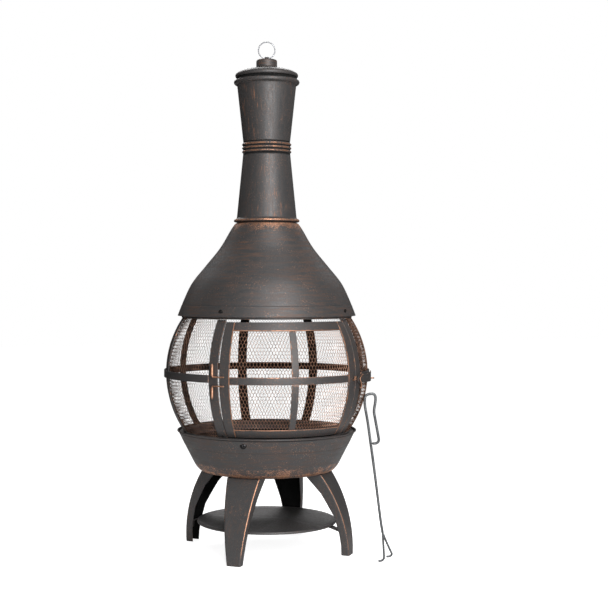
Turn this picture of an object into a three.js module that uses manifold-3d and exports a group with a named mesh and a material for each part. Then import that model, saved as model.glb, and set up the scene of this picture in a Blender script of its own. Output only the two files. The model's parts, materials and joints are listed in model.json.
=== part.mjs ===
// A steel chiminea: a fire bowl on four channel legs, a round mesh firebox with a hinged door,
// a hood, a two-piece chimney with a lift-off lid, a wood shelf between the legs, a lift-out
// grate and a loose poker. Millimetres, +Z up, the door faces -Y, origin on the floor below
// the centre of the firebox. Angles are in degrees from -Y, growing towards +X.
import * as THREE from 'three';
import Module from 'manifold-3d';
import { mergeVertices } from 'three/addons/utils/BufferGeometryUtils.js';

const wasm = await Module();
wasm.setup();

// ---- driving dimensions -------------------------------------------------------------------
const GAP = 0.3;
const ROUND = 36;
const CHIMNEY_ROUND = 24;
const SHEET = 1.8;

const SCREEN_CENTRE = 397;
const SCREEN_RADIUS = 228;
const BAR_THICKNESS = 3;
const BAR_INNER = SCREEN_RADIUS - BAR_THICKNESS;
const MESH_OUTER = BAR_INNER - 0.7;
const MESH_INNER = MESH_OUTER - 1.2;
const SCREEN_LOW = 268.1;
const SCREEN_HIGH = 519.7;
const POST_ANGLES = [45, 90, 135, 180, 225, 270, 315];
const POST_WIDTH = 22.4;
const BELT_CENTRE = 396;
const BELT_HEIGHT = 16.4;
const BELT_THICKNESS = 2.2;
const BELT_INNER = SCREEN_RADIUS + 1;
const BELT_OUTER = BELT_INNER + BELT_THICKNESS;

const DOOR_HALF_ANGLE = 41.4;
const DOOR_LOW = 270.4;
const DOOR_HIGH = 515.4;
const STILE_ANGLE = 6;
const RAIL_LOW_TOP = 288;
const RAIL_MIDDLE = 392.8;
const RAIL_HIGH_BOTTOM = 496.5;
const DOOR_BAR_HALF_ANGLE = 1.95;
const WELD_ANGLE = 0.1;
const HINGE_ANGLE = -45;
const HINGE_CENTRE = 390.9;
const HINGE_RADIUS = SCREEN_RADIUS + 3.2;

const HOOD_LOW = 525.5;
const HOOD_LOW_RADIUS = 200.4;
const HOOD_CREASE = [191.8, 548.5];
const HOOD_NECK = 733;
const HOOD_BOLT = { angles: [45, 135, 225, 315], height: 537, head: 4, grip: 10.6 };
const BOWL_RIM = 268.4;
const BOWL_RIM_RADIUS = 200.2;
const BOWL_CREASE = [185.1, 238.3];
const BOWL_FOOT = [160.6, 189.8];
const BOWL_BASE = 176.5;
const BOWL_BASE_RADIUS = 140;
const BOWL_BOLT = { angles: [90, 210, 330], height: 253.4, head: 5.6, grip: 4.8 };

const CHIMNEY_LOW = 736;
const CHIMNEY_FOOT_RADIUS = 67.6;
const CHIMNEY_WAIST = 889;
const WAIST_RADIUS = 53.6;
const WAIST_BEADS = 3;
const BEAD_PITCH = 8.2;
const BEAD_DEPTH = 1.8;
const CHIMNEY_TOP = 1060;
const CHIMNEY_TOP_RADIUS = 68;
const TOP_BEAD_HEIGHT = 1050;
const TOP_BEAD_RADIUS = 74.4;
const LID_RIM_RADIUS = 70.7;
const LID_APEX = 1085.4;
const LID_COLLAR_RADIUS = 63.8;
const LID_COLLAR_LOW = 1048;
const KNOB_RADIUS = 23.6;
const KNOB_TOP = 1101.6;
const RING_RADIUS = 18.7;
const RING_WIRE = 1.25;
const RING_TURN = -15;

const LEG_ANGLES = [-36.1, 53.3, 145, 229.5];
const LEG_ARC_RADIUS = 302;
const LEG_FOOT_RADIUS = 199.5;
const LEG_TOP = BOWL_BASE - GAP;
const LEG_TOP_WIDTH = 75.6;
const LEG_FOOT_WIDTH = 31;
const LEG_SHEET = 2;
const SHELF_TOP = 66;
const SHELF_FLOOR = SHELF_TOP - 3;
const SHELF_LIP = 6;
const SHELF_RADIUS = 156.5;
const GRATE_RADIUS = 124;
const GRATE_TOP = 208;
const GRATE_BAR = 6;
const POKER_ROD = 2.8;
const POKER_TINE = 2.3;
const POKER_TURN = -15.3;
const POKER_REACH = 145;
const POKER_LEAN = 0.0535;

// ---- materials ----------------------------------------------------------------------------
function steel(name, color, roughness, metalness) {
  return new THREE.MeshStandardMaterial({ name, color, roughness, metalness });
}
const paint = steel('brushed_charcoal_paint', 0x4b4744, 0.5, 0.35);
const copper = steel('copper_tinted_steel', 0xa86a48, 0.4, 0.8);
const expanded = steel('expanded_steel_mesh', 0x6b4a3a, 0.55, 0.5);
const chrome = steel('chromed_wire', 0xd8dade, 0.15, 1.0);
const black = steel('blackened_fastener', 0x1c1c1d, 0.45, 0.6);
const rodSteel = steel('grey_steel_rod', 0x5d6062, 0.45, 0.8);
const castIron = steel('sooty_cast_iron', 0x24211f, 0.8, 0.4);

const chiminea = new THREE.Group();

function addPiece(name, geometry, material, angle = 0) {
  const mesh = new THREE.Mesh(geometry, material);
  mesh.name = name;
  mesh.rotation.z = THREE.MathUtils.degToRad(angle);
  chiminea.add(mesh);
  return mesh;
}

// ---- geometry helpers ---------------------------------------------------------------------
function signedVolume(geometry) {
  const position = geometry.attributes.position;
  const index = geometry.index;
  const corner = (k) => new THREE.Vector3().fromBufferAttribute(position, index ? index.getX(k) : k);
  const count = index ? index.count : position.count;
  let volume = 0;
  for (let k = 0; k < count; k += 3) {
    volume += corner(k).dot(corner(k + 1).cross(corner(k + 2)));
  }
  return volume;
}

// Keeps only positions, merges shared vertices and turns the faces outwards.
function closed(geometry) {
  geometry.deleteAttribute('normal');
  geometry.deleteAttribute('uv');
  const merged = mergeVertices(geometry, 1e-4);
  const kept = [];
  const index = merged.index;
  for (let k = 0; k < index.count; k += 3) {
    const [a, b, c] = [index.getX(k), index.getX(k + 1), index.getX(k + 2)];
    if (a !== b && b !== c && c !== a) kept.push(a, b, c);
  }
  merged.setIndex(kept);
  if (signedVolume(merged) < 0) {
    for (let k = 0; k < kept.length; k += 3) {
      [kept[k + 1], kept[k + 2]] = [kept[k + 2], kept[k + 1]];
    }
    merged.setIndex(kept);
  }
  merged.computeVertexNormals();
  return merged;
}

function toSolid(geometry) {
  const clean = closed(geometry.clone());
  return new wasm.Manifold(new wasm.Mesh({
    numProp: 3,
    vertProperties: new Float32Array(clean.attributes.position.array),
    triVerts: new Uint32Array(clean.index.array),
  }));
}

function fromSolid(solid) {
  const mesh = solid.getMesh();
  const geometry = new THREE.BufferGeometry();
  geometry.setAttribute('position', new THREE.BufferAttribute(mesh.vertProperties, 3));
  geometry.setIndex(new THREE.BufferAttribute(mesh.triVerts, 1));
  geometry.computeVertexNormals();
  return geometry;
}

function cut(geometry, tools) {
  return fromSolid(tools.reduce((solid, tool) => solid.subtract(toSolid(tool)), toSolid(geometry)));
}

function join(geometries) {
  return fromSolid(geometries.map(toSolid).reduce((whole, next) => whole.add(next)));
}

// A profile of [radius, height] points turned about the vertical axis.
function turned(profile, segments = ROUND) {
  const points = profile.map(([radius, height]) => new THREE.Vector2(radius, height));
  return closed(new THREE.LatheGeometry(points, segments).rotateX(Math.PI / 2));
}

function ringProfile(points) {
  return [...points, points[0]];
}

// The closed profile of a sheet of even thickness whose outer face follows the points.
function sheetProfile(outer, thickness = SHEET) {
  const inner = outer.map(([radius, height], k) => {
    const before = outer[Math.max(k - 1, 0)];
    const after = outer[Math.min(k + 1, outer.length - 1)];
    const along = new THREE.Vector2(after[0] - before[0], after[1] - before[1]).normalize();
    return [radius - along.y * thickness, height + along.x * thickness];
  });
  return ringProfile([...outer, ...inner.reverse()]);
}

function mapVertices(geometry, map) {
  const position = geometry.attributes.position;
  for (let k = 0; k < position.count; k += 1) {
    const moved = map(position.getX(k), position.getY(k), position.getZ(k));
    position.setXYZ(k, moved.x, moved.y, moved.z);
  }
  return closed(geometry);
}

const elevationAt = (radius, height) => Math.asin((height - SCREEN_CENTRE) / radius);

// A patch of the round firebox wall between two angles, two heights and two radii.
function wallPatch({ from, to, low, high, inner, outer, across, up = 1 }) {
  const box = new THREE.BoxGeometry(1, 1, 1, across, 1, up);
  return mapVertices(box, (u, v, w) => {
    const angle = THREE.MathUtils.degToRad(THREE.MathUtils.lerp(from, to, u + 0.5));
    const radius = THREE.MathUtils.lerp(inner, outer, v + 0.5);
    const start = elevationAt(radius, low);
    const elevation = THREE.MathUtils.lerp(start, elevationAt(radius, high), w + 0.5);
    const reach = radius * Math.cos(elevation);
    const height = SCREEN_CENTRE + radius * Math.sin(elevation);
    return new THREE.Vector3(reach * Math.sin(angle), -reach * Math.cos(angle), height);
  });
}

// A flat bar of even width bent over the round firebox wall from bottom to top.
function uprightBar(width, low, high) {
  const box = new THREE.BoxGeometry(width, 1, 1, 1, 1, 9);
  return mapVertices(box, (t, v, w) => {
    const radius = THREE.MathUtils.lerp(BAR_INNER, SCREEN_RADIUS, v + 0.5);
    const start = elevationAt(radius, low);
    const elevation = THREE.MathUtils.lerp(start, elevationAt(radius, high), w + 0.5);
    const height = SCREEN_CENTRE + radius * Math.sin(elevation);
    return new THREE.Vector3(t, -radius * Math.cos(elevation), height);
  });
}

// A round rod along straight runs whose corners are bent to a radius.
function bentRod(points, radius, bend, sides = 6) {
  const path = new THREE.CurvePath();
  let from = points[0].clone();
  for (let k = 1; k < points.length - 1; k += 1) {
    const corner = points[k];
    const before = corner.clone().add(points[k - 1].clone().sub(corner).setLength(bend));
    const after = corner.clone().add(points[k + 1].clone().sub(corner).setLength(bend));
    path.add(new THREE.LineCurve3(from, before));
    path.add(new THREE.QuadraticBezierCurve3(before, corner.clone(), after));
    from = after;
  }
  path.add(new THREE.LineCurve3(from, points[points.length - 1].clone()));
  return rodAlong(path, radius, sides, 5 * (points.length - 1));
}

function rodAlong(path, radius, sides, steps) {
  const section = new THREE.Shape();
  for (let k = 0; k < sides; k += 1) {
    const angle = (2 * Math.PI * k) / sides;
    const [x, y] = [radius * Math.cos(angle), radius * Math.sin(angle)];
    if (k === 0) section.moveTo(x, y);
    else section.lineTo(x, y);
  }
  section.closePath();
  return closed(new THREE.ExtrudeGeometry(section, { extrudePath: path, steps, bevelEnabled: false }));
}

function polar(radius, angle, height) {
  const turn = THREE.MathUtils.degToRad(angle);
  return new THREE.Vector3(radius * Math.sin(turn), -radius * Math.cos(turn), height);
}

// An outline in the (radius, height) plane, given an even width across the radius.
function radialPlate(outline, width) {
  const shape = new THREE.Shape(outline.map(([radius, height]) => new THREE.Vector2(radius, height)));
  const plate = new THREE.ExtrudeGeometry(shape, { depth: 1, bevelEnabled: false });
  return mapVertices(plate, (radius, height, side) => {
    return new THREE.Vector3((side - 0.5) * width, -radius, height);
  });
}

// ---- fasteners ----------------------------------------------------------------------------
const BOLT_SHANK = 2.2;
const BOLT_HOLE = BOLT_SHANK + GAP;
const NUT_RADIUS = 4;
const NUT_HEIGHT = 3;
const HOLE_DEPTH = 24;

// A pan-head bolt with its nut, along +Z with the sheet's outer face at height 0.
function boltGeometry({ head, grip }) {
  const nutFace = -grip - GAP;
  return turned([
    [0, head * 0.45 + GAP],
    [head * 0.6, head * 0.38 + GAP],
    [head, head * 0.1 + GAP],
    [head, GAP],
    [BOLT_SHANK, GAP],
    [BOLT_SHANK, nutFace],
    [NUT_RADIUS, nutFace],
    [NUT_RADIUS, nutFace - NUT_HEIGHT],
    [0, nutFace - NUT_HEIGHT],
  ], 8);
}

// Points a +Z shape outwards through a sloping wall that faces -Y.
function throughWall(geometry, radius, height, slope) {
  return geometry.rotateX(Math.PI / 2 - slope).translate(0, -radius, height);
}

function wallHoles({ angles, height }, radius, slope) {
  return angles.map((angle) => {
    const hole = new THREE.CylinderGeometry(BOLT_HOLE, BOLT_HOLE, HOLE_DEPTH, 8).rotateX(Math.PI / 2);
    return throughWall(hole, radius, height, slope).rotateZ(THREE.MathUtils.degToRad(angle));
  });
}

// ---- fire bowl ----------------------------------------------------------------------------
const bowlSlope = (BOWL_RIM_RADIUS - BOWL_CREASE[0]) / (BOWL_RIM - BOWL_CREASE[1]);
const bowlRadius = (height) => BOWL_CREASE[0] + bowlSlope * (height - BOWL_CREASE[1]);
const bowlHoles = () => wallHoles(BOWL_BOLT, bowlRadius(BOWL_BOLT.height), -Math.atan(bowlSlope));

function fireBowl() {
  const wall = sheetProfile([
    [0, BOWL_BASE],
    [BOWL_BASE_RADIUS, BOWL_BASE],
    [BOWL_BASE_RADIUS + 10, BOWL_BASE + 2.5],
    [BOWL_BASE_RADIUS + 16.5, BOWL_BASE + 7.5],
    BOWL_FOOT,
    BOWL_CREASE,
    [BOWL_RIM_RADIUS, BOWL_RIM],
  ]);
  return cut(turned(wall), bowlHoles());
}

// ---- bottom ring: carries the posts and is bolted inside the bowl ---------------------------
const RING_TOP = SCREEN_LOW - GAP;
const FLANGE_TOP = 264.9;
const FLANGE_LOW = FLANGE_TOP - BAR_THICKNESS;
const LIP_LOW = 246;
const LIP_THICKNESS = 2.6;
const reachAt = (radius, height) => radius * Math.cos(elevationAt(radius, height));

function bottomRing() {
  const bowlInner = (height) => bowlRadius(height) - SHEET * Math.hypot(1, bowlSlope) - GAP;
  const profile = ringProfile([
    [reachAt(BAR_INNER, FLANGE_LOW), FLANGE_LOW],
    [bowlInner(FLANGE_LOW) - LIP_THICKNESS, FLANGE_LOW],
    [bowlInner(LIP_LOW) - LIP_THICKNESS, LIP_LOW],
    [bowlInner(LIP_LOW), LIP_LOW],
    [bowlInner(FLANGE_TOP), FLANGE_TOP],
    [reachAt(SCREEN_RADIUS, FLANGE_TOP), FLANGE_TOP],
    [reachAt(SCREEN_RADIUS, RING_TOP), RING_TOP],
    [reachAt(BAR_INNER, RING_TOP), RING_TOP],
  ]);
  return cut(turned(profile), bowlHoles());
}

// ---- top ring: ties the posts together under the hood ---------------------------------------
const TOP_RING_LOW = SCREEN_HIGH + GAP;
const TOP_RING_HIGH = 541.5;
const TOP_RING_OUTER = 191.6;
const hoodSlope = (HOOD_LOW_RADIUS - HOOD_CREASE[0]) / (HOOD_CREASE[1] - HOOD_LOW);
const skirtRadius = (height) => HOOD_CREASE[0] + hoodSlope * (HOOD_CREASE[1] - height);
const hoodHoles = () => wallHoles(HOOD_BOLT, skirtRadius(HOOD_BOLT.height), Math.atan(hoodSlope));

function topRing() {
  const inner = TOP_RING_OUTER - BAR_THICKNESS;
  const profile = ringProfile([
    [inner, TOP_RING_LOW],
    [TOP_RING_OUTER, TOP_RING_LOW],
    [TOP_RING_OUTER, TOP_RING_HIGH],
    [inner, TOP_RING_HIGH],
  ]);
  return cut(turned(profile), hoodHoles());
}

// ---- hood -----------------------------------------------------------------------------------
const COLLAR_RADIUS = 64.4;
const COLLAR_TOP = 750;

function hood() {
  const flank = new THREE.SplineCurve([
    new THREE.Vector2(...HOOD_CREASE),
    new THREE.Vector2(169.6, 595.3),
    new THREE.Vector2(137.5, 636),
    new THREE.Vector2(105, 676.6),
    new THREE.Vector2(81.1, 717),
    new THREE.Vector2(71.5, HOOD_NECK - 2),
  ]).getPoints(8).map((point) => [point.x, point.y]);
  const wall = sheetProfile([
    [HOOD_LOW_RADIUS, HOOD_LOW],
    ...flank,
    [COLLAR_RADIUS, HOOD_NECK + 1],
    [COLLAR_RADIUS, COLLAR_TOP],
  ]);
  return cut(turned(wall), hoodHoles());
}

// ---- chimney --------------------------------------------------------------------------------
const WAIST_TOP = CHIMNEY_WAIST + BEAD_PITCH * WAIST_BEADS;

function lowerChimney() {
  const [foot, sheet] = [CHIMNEY_FOOT_RADIUS, 1.4];
  const beads = [];
  for (let k = 0; k < WAIST_BEADS; k += 1) {
    const middle = CHIMNEY_WAIST + BEAD_PITCH * (k + 0.5);
    beads.push([WAIST_RADIUS, middle - BEAD_PITCH * 0.45]);
    beads.push([WAIST_RADIUS + BEAD_DEPTH, middle]);
  }
  return turned(sheetProfile([
    [foot + 1.8, CHIMNEY_LOW - 2],
    [foot + 6.9, CHIMNEY_LOW + 1.2],
    [foot + 6.2, CHIMNEY_LOW + 4.2],
    [foot, CHIMNEY_LOW + 8],
    ...beads,
    [WAIST_RADIUS, WAIST_TOP],
  ], sheet), CHIMNEY_ROUND);
}

// Its lower end is a spigot that sits inside the lower chimney.
function upperChimney() {
  const [spigot, sheet] = [WAIST_RADIUS - 2.4, 1.2];
  return turned(sheetProfile([
    [spigot, CHIMNEY_WAIST + 3],
    [spigot, WAIST_TOP + 0.6],
    [WAIST_RADIUS - 0.6, WAIST_TOP + 2],
    [CHIMNEY_TOP_RADIUS - 1.4, TOP_BEAD_HEIGHT - 8],
    [CHIMNEY_TOP_RADIUS, TOP_BEAD_HEIGHT - 5.5],
    [TOP_BEAD_RADIUS - 1.4, TOP_BEAD_HEIGHT - 3],
    [TOP_BEAD_RADIUS, TOP_BEAD_HEIGHT],
    [TOP_BEAD_RADIUS - 1.4, TOP_BEAD_HEIGHT + 3],
    [CHIMNEY_TOP_RADIUS, TOP_BEAD_HEIGHT + 5],
    [CHIMNEY_TOP_RADIUS, CHIMNEY_TOP],
  ], sheet), CHIMNEY_ROUND);
}

// ---- lid, knob, strap and ring handle ---------------------------------------------------------
const LID_BASE = CHIMNEY_TOP + GAP;
const LID_SEAT = LID_APEX - 2.2;
const RING_AXIS_HEIGHT = KNOB_TOP + 2.7;
const STRAP_WIDTH = 9.5;

// A shallow cone with a rolled rim and a collar that reaches down inside the chimney.
function lid() {
  const [rim, collar, sheet] = [LID_RIM_RADIUS, LID_COLLAR_RADIUS, 1.6];
  return turned([
    [0, LID_APEX],
    [KNOB_RADIUS, LID_SEAT],
    [rim - 13.3, LID_APEX - 9.9],
    [rim - 3.8, LID_APEX - 14.6],
    [rim, LID_BASE + 6.7],
    [rim, LID_BASE + 2.3],
    [rim - 1.5, LID_BASE],
    [collar + 2.6, LID_BASE],
    [collar + 1.8, LID_BASE + 6.2],
    [collar, LID_BASE + 7.7],
    [collar, LID_COLLAR_LOW],
    [collar - sheet, LID_COLLAR_LOW],
    [collar - sheet, LID_BASE + 9.7],
    [collar - 7.4, LID_APEX - 12],
    [0, LID_APEX - 2.4],
  ], CHIMNEY_ROUND);
}

function lidKnob() {
  return turned([
    [0, LID_APEX + GAP],
    [KNOB_RADIUS, LID_SEAT + GAP],
    [KNOB_RADIUS, KNOB_TOP - 5],
    [KNOB_RADIUS - 1.2, KNOB_TOP - 2],
    [KNOB_RADIUS - 4.4, KNOB_TOP - 0.4],
    [KNOB_RADIUS - 8, KNOB_TOP],
    [0, KNOB_TOP],
  ], CHIMNEY_ROUND);
}

// A small bridge of strip steel that the ring handle turns in.
function lidStrap() {
  const [outer, inner, foot] = [3.9, 2.5, 7];
  const base = KNOB_TOP + GAP;
  const middle = RING_AXIS_HEIGHT;
  const thickness = outer - inner;
  const arch = new THREE.Shape();
  arch.moveTo(foot, base);
  arch.lineTo(foot, base + thickness);
  arch.lineTo(outer, base + thickness);
  arch.lineTo(outer, middle);
  arch.absarc(0, middle, outer, 0, Math.PI, false);
  arch.lineTo(-outer, base + thickness);
  arch.lineTo(-foot, base + thickness);
  arch.lineTo(-foot, base);
  arch.lineTo(-inner, base);
  arch.lineTo(-inner, middle);
  arch.absarc(0, middle, inner, Math.PI, 0, true);
  arch.lineTo(inner, base);
  arch.closePath();
  const strap = new THREE.ExtrudeGeometry(arch, {
    depth: STRAP_WIDTH,
    bevelEnabled: false,
    curveSegments: 6,
  });
  return mapVertices(strap, (y, z, x) => new THREE.Vector3(x - STRAP_WIDTH / 2, y, z));
}

function ringHandle() {
  const ring = new THREE.TorusGeometry(RING_RADIUS, RING_WIRE, 6, 24).rotateX(Math.PI / 2);
  return closed(ring.translate(0, 0, RING_AXIS_HEIGHT + RING_RADIUS));
}

// ---- door -------------------------------------------------------------------------------------
const wallLayer = { inner: BAR_INNER, outer: SCREEN_RADIUS };
const doorInside = DOOR_HALF_ANGLE - STILE_ANGLE;
const middleRailLow = RAIL_MIDDLE - BELT_HEIGHT / 2;
const middleRailHigh = RAIL_MIDDLE + BELT_HEIGHT / 2;

function doorStile(side) {
  const [near, far] = [side * doorInside, side * DOOR_HALF_ANGLE];
  return wallPatch({
    from: Math.min(near, far),
    to: Math.max(near, far),
    low: DOOR_LOW,
    high: DOOR_HIGH,
    across: 1,
    up: 9,
    ...wallLayer,
  });
}

function doorRail(low, high) {
  const reach = doorInside - WELD_ANGLE;
  return wallPatch({ from: -reach, to: reach, low, high, across: 10, ...wallLayer });
}

function doorUpright(low, high) {
  const reach = DOOR_BAR_HALF_ANGLE;
  return wallPatch({ from: -reach, to: reach, low, high, across: 1, up: 4, ...wallLayer });
}

function doorMesh() {
  const [reach, inset] = [DOOR_HALF_ANGLE - 2, 6];
  return wallPatch({
    from: -reach,
    to: reach,
    low: DOOR_LOW + inset,
    high: DOOR_HIGH - inset,
    inner: MESH_INNER,
    outer: MESH_OUTER,
    across: 8,
    up: 6,
  });
}

// Each hinge is a tube on the post and an L-shaped pin that comes from the door stile.
const PIN_RADIUS = 1.6;
const PIN_BORE = PIN_RADIUS + 0.35;
const TUBE_OUTER = 2.9;
const ARM_OFFSET = 9.6;
const TUBE_START = 13;
const TUBE_END = 34.5;

function hingeTube(side) {
  const [low, high] = [side * TUBE_START, side * TUBE_END].sort((a, b) => a - b);
  const profile = ringProfile([
    [PIN_BORE, HINGE_CENTRE + low],
    [TUBE_OUTER, HINGE_CENTRE + low],
    [TUBE_OUTER, HINGE_CENTRE + high],
    [PIN_BORE, HINGE_CENTRE + high],
  ]);
  const axis = polar(HINGE_RADIUS, HINGE_ANGLE, 0);
  return turned(profile, 12).translate(axis.x, axis.y, 0);
}

function hingePin(side) {
  const stileAngle = -doorInside - STILE_ANGLE * 0.45;
  const armHeight = HINGE_CENTRE + side * ARM_OFFSET;
  const stileFace = SCREEN_RADIUS + PIN_RADIUS + GAP;
  const [overrun, bend] = [3, 3];
  return bentRod([
    polar(HINGE_RADIUS, HINGE_ANGLE, HINGE_CENTRE + side * (TUBE_END + overrun)),
    polar(HINGE_RADIUS, HINGE_ANGLE, armHeight),
    polar(stileFace, stileAngle, armHeight),
  ], PIN_RADIUS, bend);
}

// ---- latch ------------------------------------------------------------------------------------
const LATCH_PIVOT_ANGLE = 68.7;
const LATCH_TIP_ANGLE = 42.3;
const LATCH_INNER = BELT_OUTER + 1.8;
const LATCH_OUTER = LATCH_INNER + 2;
const LATCH_MIDDLE = BELT_CENTRE - 6;
const LATCH_PIN_HEIGHT = BELT_CENTRE - 11;
const LATCH_PIN_TIP = 242.5;

// A bar that lies along the belt, narrower at its tip, and lifts about the pin at its far end.
function latchBar() {
  const [tipHalf, rootHalf] = [8, 11.5];
  const heel = LATCH_PIVOT_ANGLE + 2.6;
  const box = new THREE.BoxGeometry(1, 1, 1, 8, 1, 1);
  const bar = mapVertices(box, (u, v, w) => {
    const share = u + 0.5;
    const radius = THREE.MathUtils.lerp(LATCH_INNER, LATCH_OUTER, v + 0.5);
    const half = THREE.MathUtils.lerp(tipHalf, rootHalf, share);
    return polar(radius, THREE.MathUtils.lerp(LATCH_TIP_ANGLE, heel, share), LATCH_MIDDLE + 2 * w * half);
  });
  const hole = new THREE.CylinderGeometry(PIN_BORE, PIN_BORE, HOLE_DEPTH, 12);
  const pivot = polar(LATCH_OUTER, 0, LATCH_PIN_HEIGHT);
  hole.translate(pivot.x, pivot.y, pivot.z).rotateZ(THREE.MathUtils.degToRad(LATCH_PIVOT_ANGLE));
  return cut(bar, [hole]);
}

function latchPin() {
  const start = polar(BELT_OUTER + GAP, LATCH_PIVOT_ANGLE, LATCH_PIN_HEIGHT);
  const end = polar(LATCH_PIN_TIP, LATCH_PIVOT_ANGLE, LATCH_PIN_HEIGHT);
  return rodAlong(new THREE.LineCurve3(start, end), PIN_RADIUS, 12, 1);
}

// The S-shaped wire pull that hangs from the latch bar.
function latchPull() {
  const wire = 1.3;
  const face = LATCH_OUTER + GAP + wire;
  return rodAlong(new THREE.CatmullRomCurve3([
    polar(face, 46.8, BELT_CENTRE + 4),
    polar(face + 1.5, 44.6, BELT_CENTRE + 2),
    polar(face + 2, 42.4, BELT_CENTRE - 5),
    polar(face + 2, 43.2, BELT_CENTRE - 12),
    polar(face + 2.5, 43.8, BELT_CENTRE - 18),
    polar(face + 3.5, 42.2, BELT_CENTRE - 25),
  ]), wire, 6, 10);
}

// A small open hook on the door stile, next to the tip of the latch bar.
function latchCatch() {
  const [back, front] = [SCREEN_RADIUS + GAP, SCREEN_RADIUS + 7.5];
  const [base, rise, sheet, width] = [BELT_CENTRE - 8, 10, 2.4, 6];
  return radialPlate([
    [back, base],
    [front, base],
    [front, base + rise],
    [front - sheet, base + rise],
    [front - sheet, base + sheet],
    [back, base + sheet],
  ], width);
}

// ---- legs and shelf ---------------------------------------------------------------------------
const legArcCentre = LEG_FOOT_RADIUS - LEG_ARC_RADIUS;
const legFace = (height, inset) => legArcCentre + Math.sqrt((LEG_ARC_RADIUS - inset) ** 2 - height ** 2);
const legHalfWidth = (height) => {
  return THREE.MathUtils.lerp(LEG_FOOT_WIDTH, LEG_TOP_WIDTH, Math.min(height / LEG_TOP, 1)) / 2;
};

function legSolid(inset, low, high, innerEdge) {
  const steps = 6;
  const outline = [];
  for (let k = 0; k <= steps; k += 1) {
    const height = THREE.MathUtils.lerp(low, high, k / steps);
    outline.push(new THREE.Vector2(legFace(height, inset), height));
  }
  innerEdge.forEach(([radius, height]) => outline.push(new THREE.Vector2(radius, height)));
  const solid = new THREE.ExtrudeGeometry(new THREE.Shape(outline), { depth: 2, bevelEnabled: false });
  return mapVertices(solid, (radius, height, side) => {
    return new THREE.Vector3((side - 1) * (legHalfWidth(height) - inset), -radius, height);
  });
}

function leg() {
  const sideEdge = [[104, LEG_TOP], [140, 136], [154, 112], [170, 83], [179, 46], [182, 22], [182, 0]];
  const ceiling = LEG_TOP - LEG_SHEET;
  const outer = legSolid(0, 0, LEG_TOP, sideEdge);
  const hollow = legSolid(LEG_SHEET, -1, ceiling, [[60, ceiling], [60, -1]]);
  return cut(outer, [hollow]);
}

// A shallow dish with a raised, turned-down rim.
function shelf() {
  const low = SHELF_TOP - SHELF_LIP;
  return turned([
    [0, SHELF_FLOOR],
    [SHELF_RADIUS - 12, SHELF_FLOOR],
    [SHELF_RADIUS - 4, SHELF_TOP],
    [SHELF_RADIUS, SHELF_TOP],
    [SHELF_RADIUS, low],
    [SHELF_RADIUS - SHEET, low],
    [SHELF_RADIUS - SHEET, SHELF_TOP - SHEET],
    [SHELF_RADIUS - 4, SHELF_TOP - SHEET],
    [SHELF_RADIUS - 12, SHELF_FLOOR - SHEET],
    [0, SHELF_FLOOR - SHEET],
  ]);
}

// A bent strip from inside each leg to the underside of the shelf.
function shelfBracket() {
  const [strip, width, low, high] = [2.2, 22, 30, 46];
  const [inner, bend] = [SHELF_RADIUS - 28.5, SHELF_RADIUS - 8];
  const top = SHELF_FLOOR - SHEET - GAP;
  const wallHigh = legFace(high, LEG_SHEET) - 2 * GAP;
  const wallLow = legFace(low, LEG_SHEET) - 2 * GAP;
  return radialPlate([
    [inner, top - strip],
    [bend - 1, top - strip],
    [wallHigh - strip - 2, high - 2],
    [wallLow - strip, low],
    [wallLow, low],
    [wallHigh, high],
    [bend, top],
    [inner, top],
  ], width);
}

// ---- grate ------------------------------------------------------------------------------------
function fireGrate() {
  const bar = GRATE_BAR;
  const rim = turned(ringProfile([
    [GRATE_RADIUS - bar, GRATE_TOP - bar],
    [GRATE_RADIUS, GRATE_TOP - bar],
    [GRATE_RADIUS, GRATE_TOP],
    [GRATE_RADIUS - bar, GRATE_TOP],
  ]), CHIMNEY_ROUND);
  const bars = [-80, -48, -16, 16, 48, 80].map((x) => {
    const length = 2 * Math.sqrt((GRATE_RADIUS - bar / 2) ** 2 - x ** 2);
    return new THREE.BoxGeometry(bar, length, bar - 1).translate(x, 0, GRATE_TOP - bar / 2);
  });
  const floor = BOWL_BASE + SHEET + GAP;
  const feet = [45, 135, 225, 315].map((angle) => {
    const height = GRATE_TOP - bar / 2 - floor;
    const place = polar(GRATE_RADIUS - bar / 2, angle, floor + height / 2);
    const foot = new THREE.BoxGeometry(bar - 1, bar - 1, height);
    return foot.rotateZ(THREE.MathUtils.degToRad(angle)).translate(place.x, place.y, place.z);
  });
  return join([rim, ...bars, ...feet]);
}

// ---- poker ------------------------------------------------------------------------------------
// The poker is drawn in a plane that leans back a little: [sideways, height], beside the bowl.
const inPokerPlane = ([side, height]) => {
  return new THREE.Vector3(side, POKER_LEAN * height - POKER_REACH, height);
};

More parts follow.
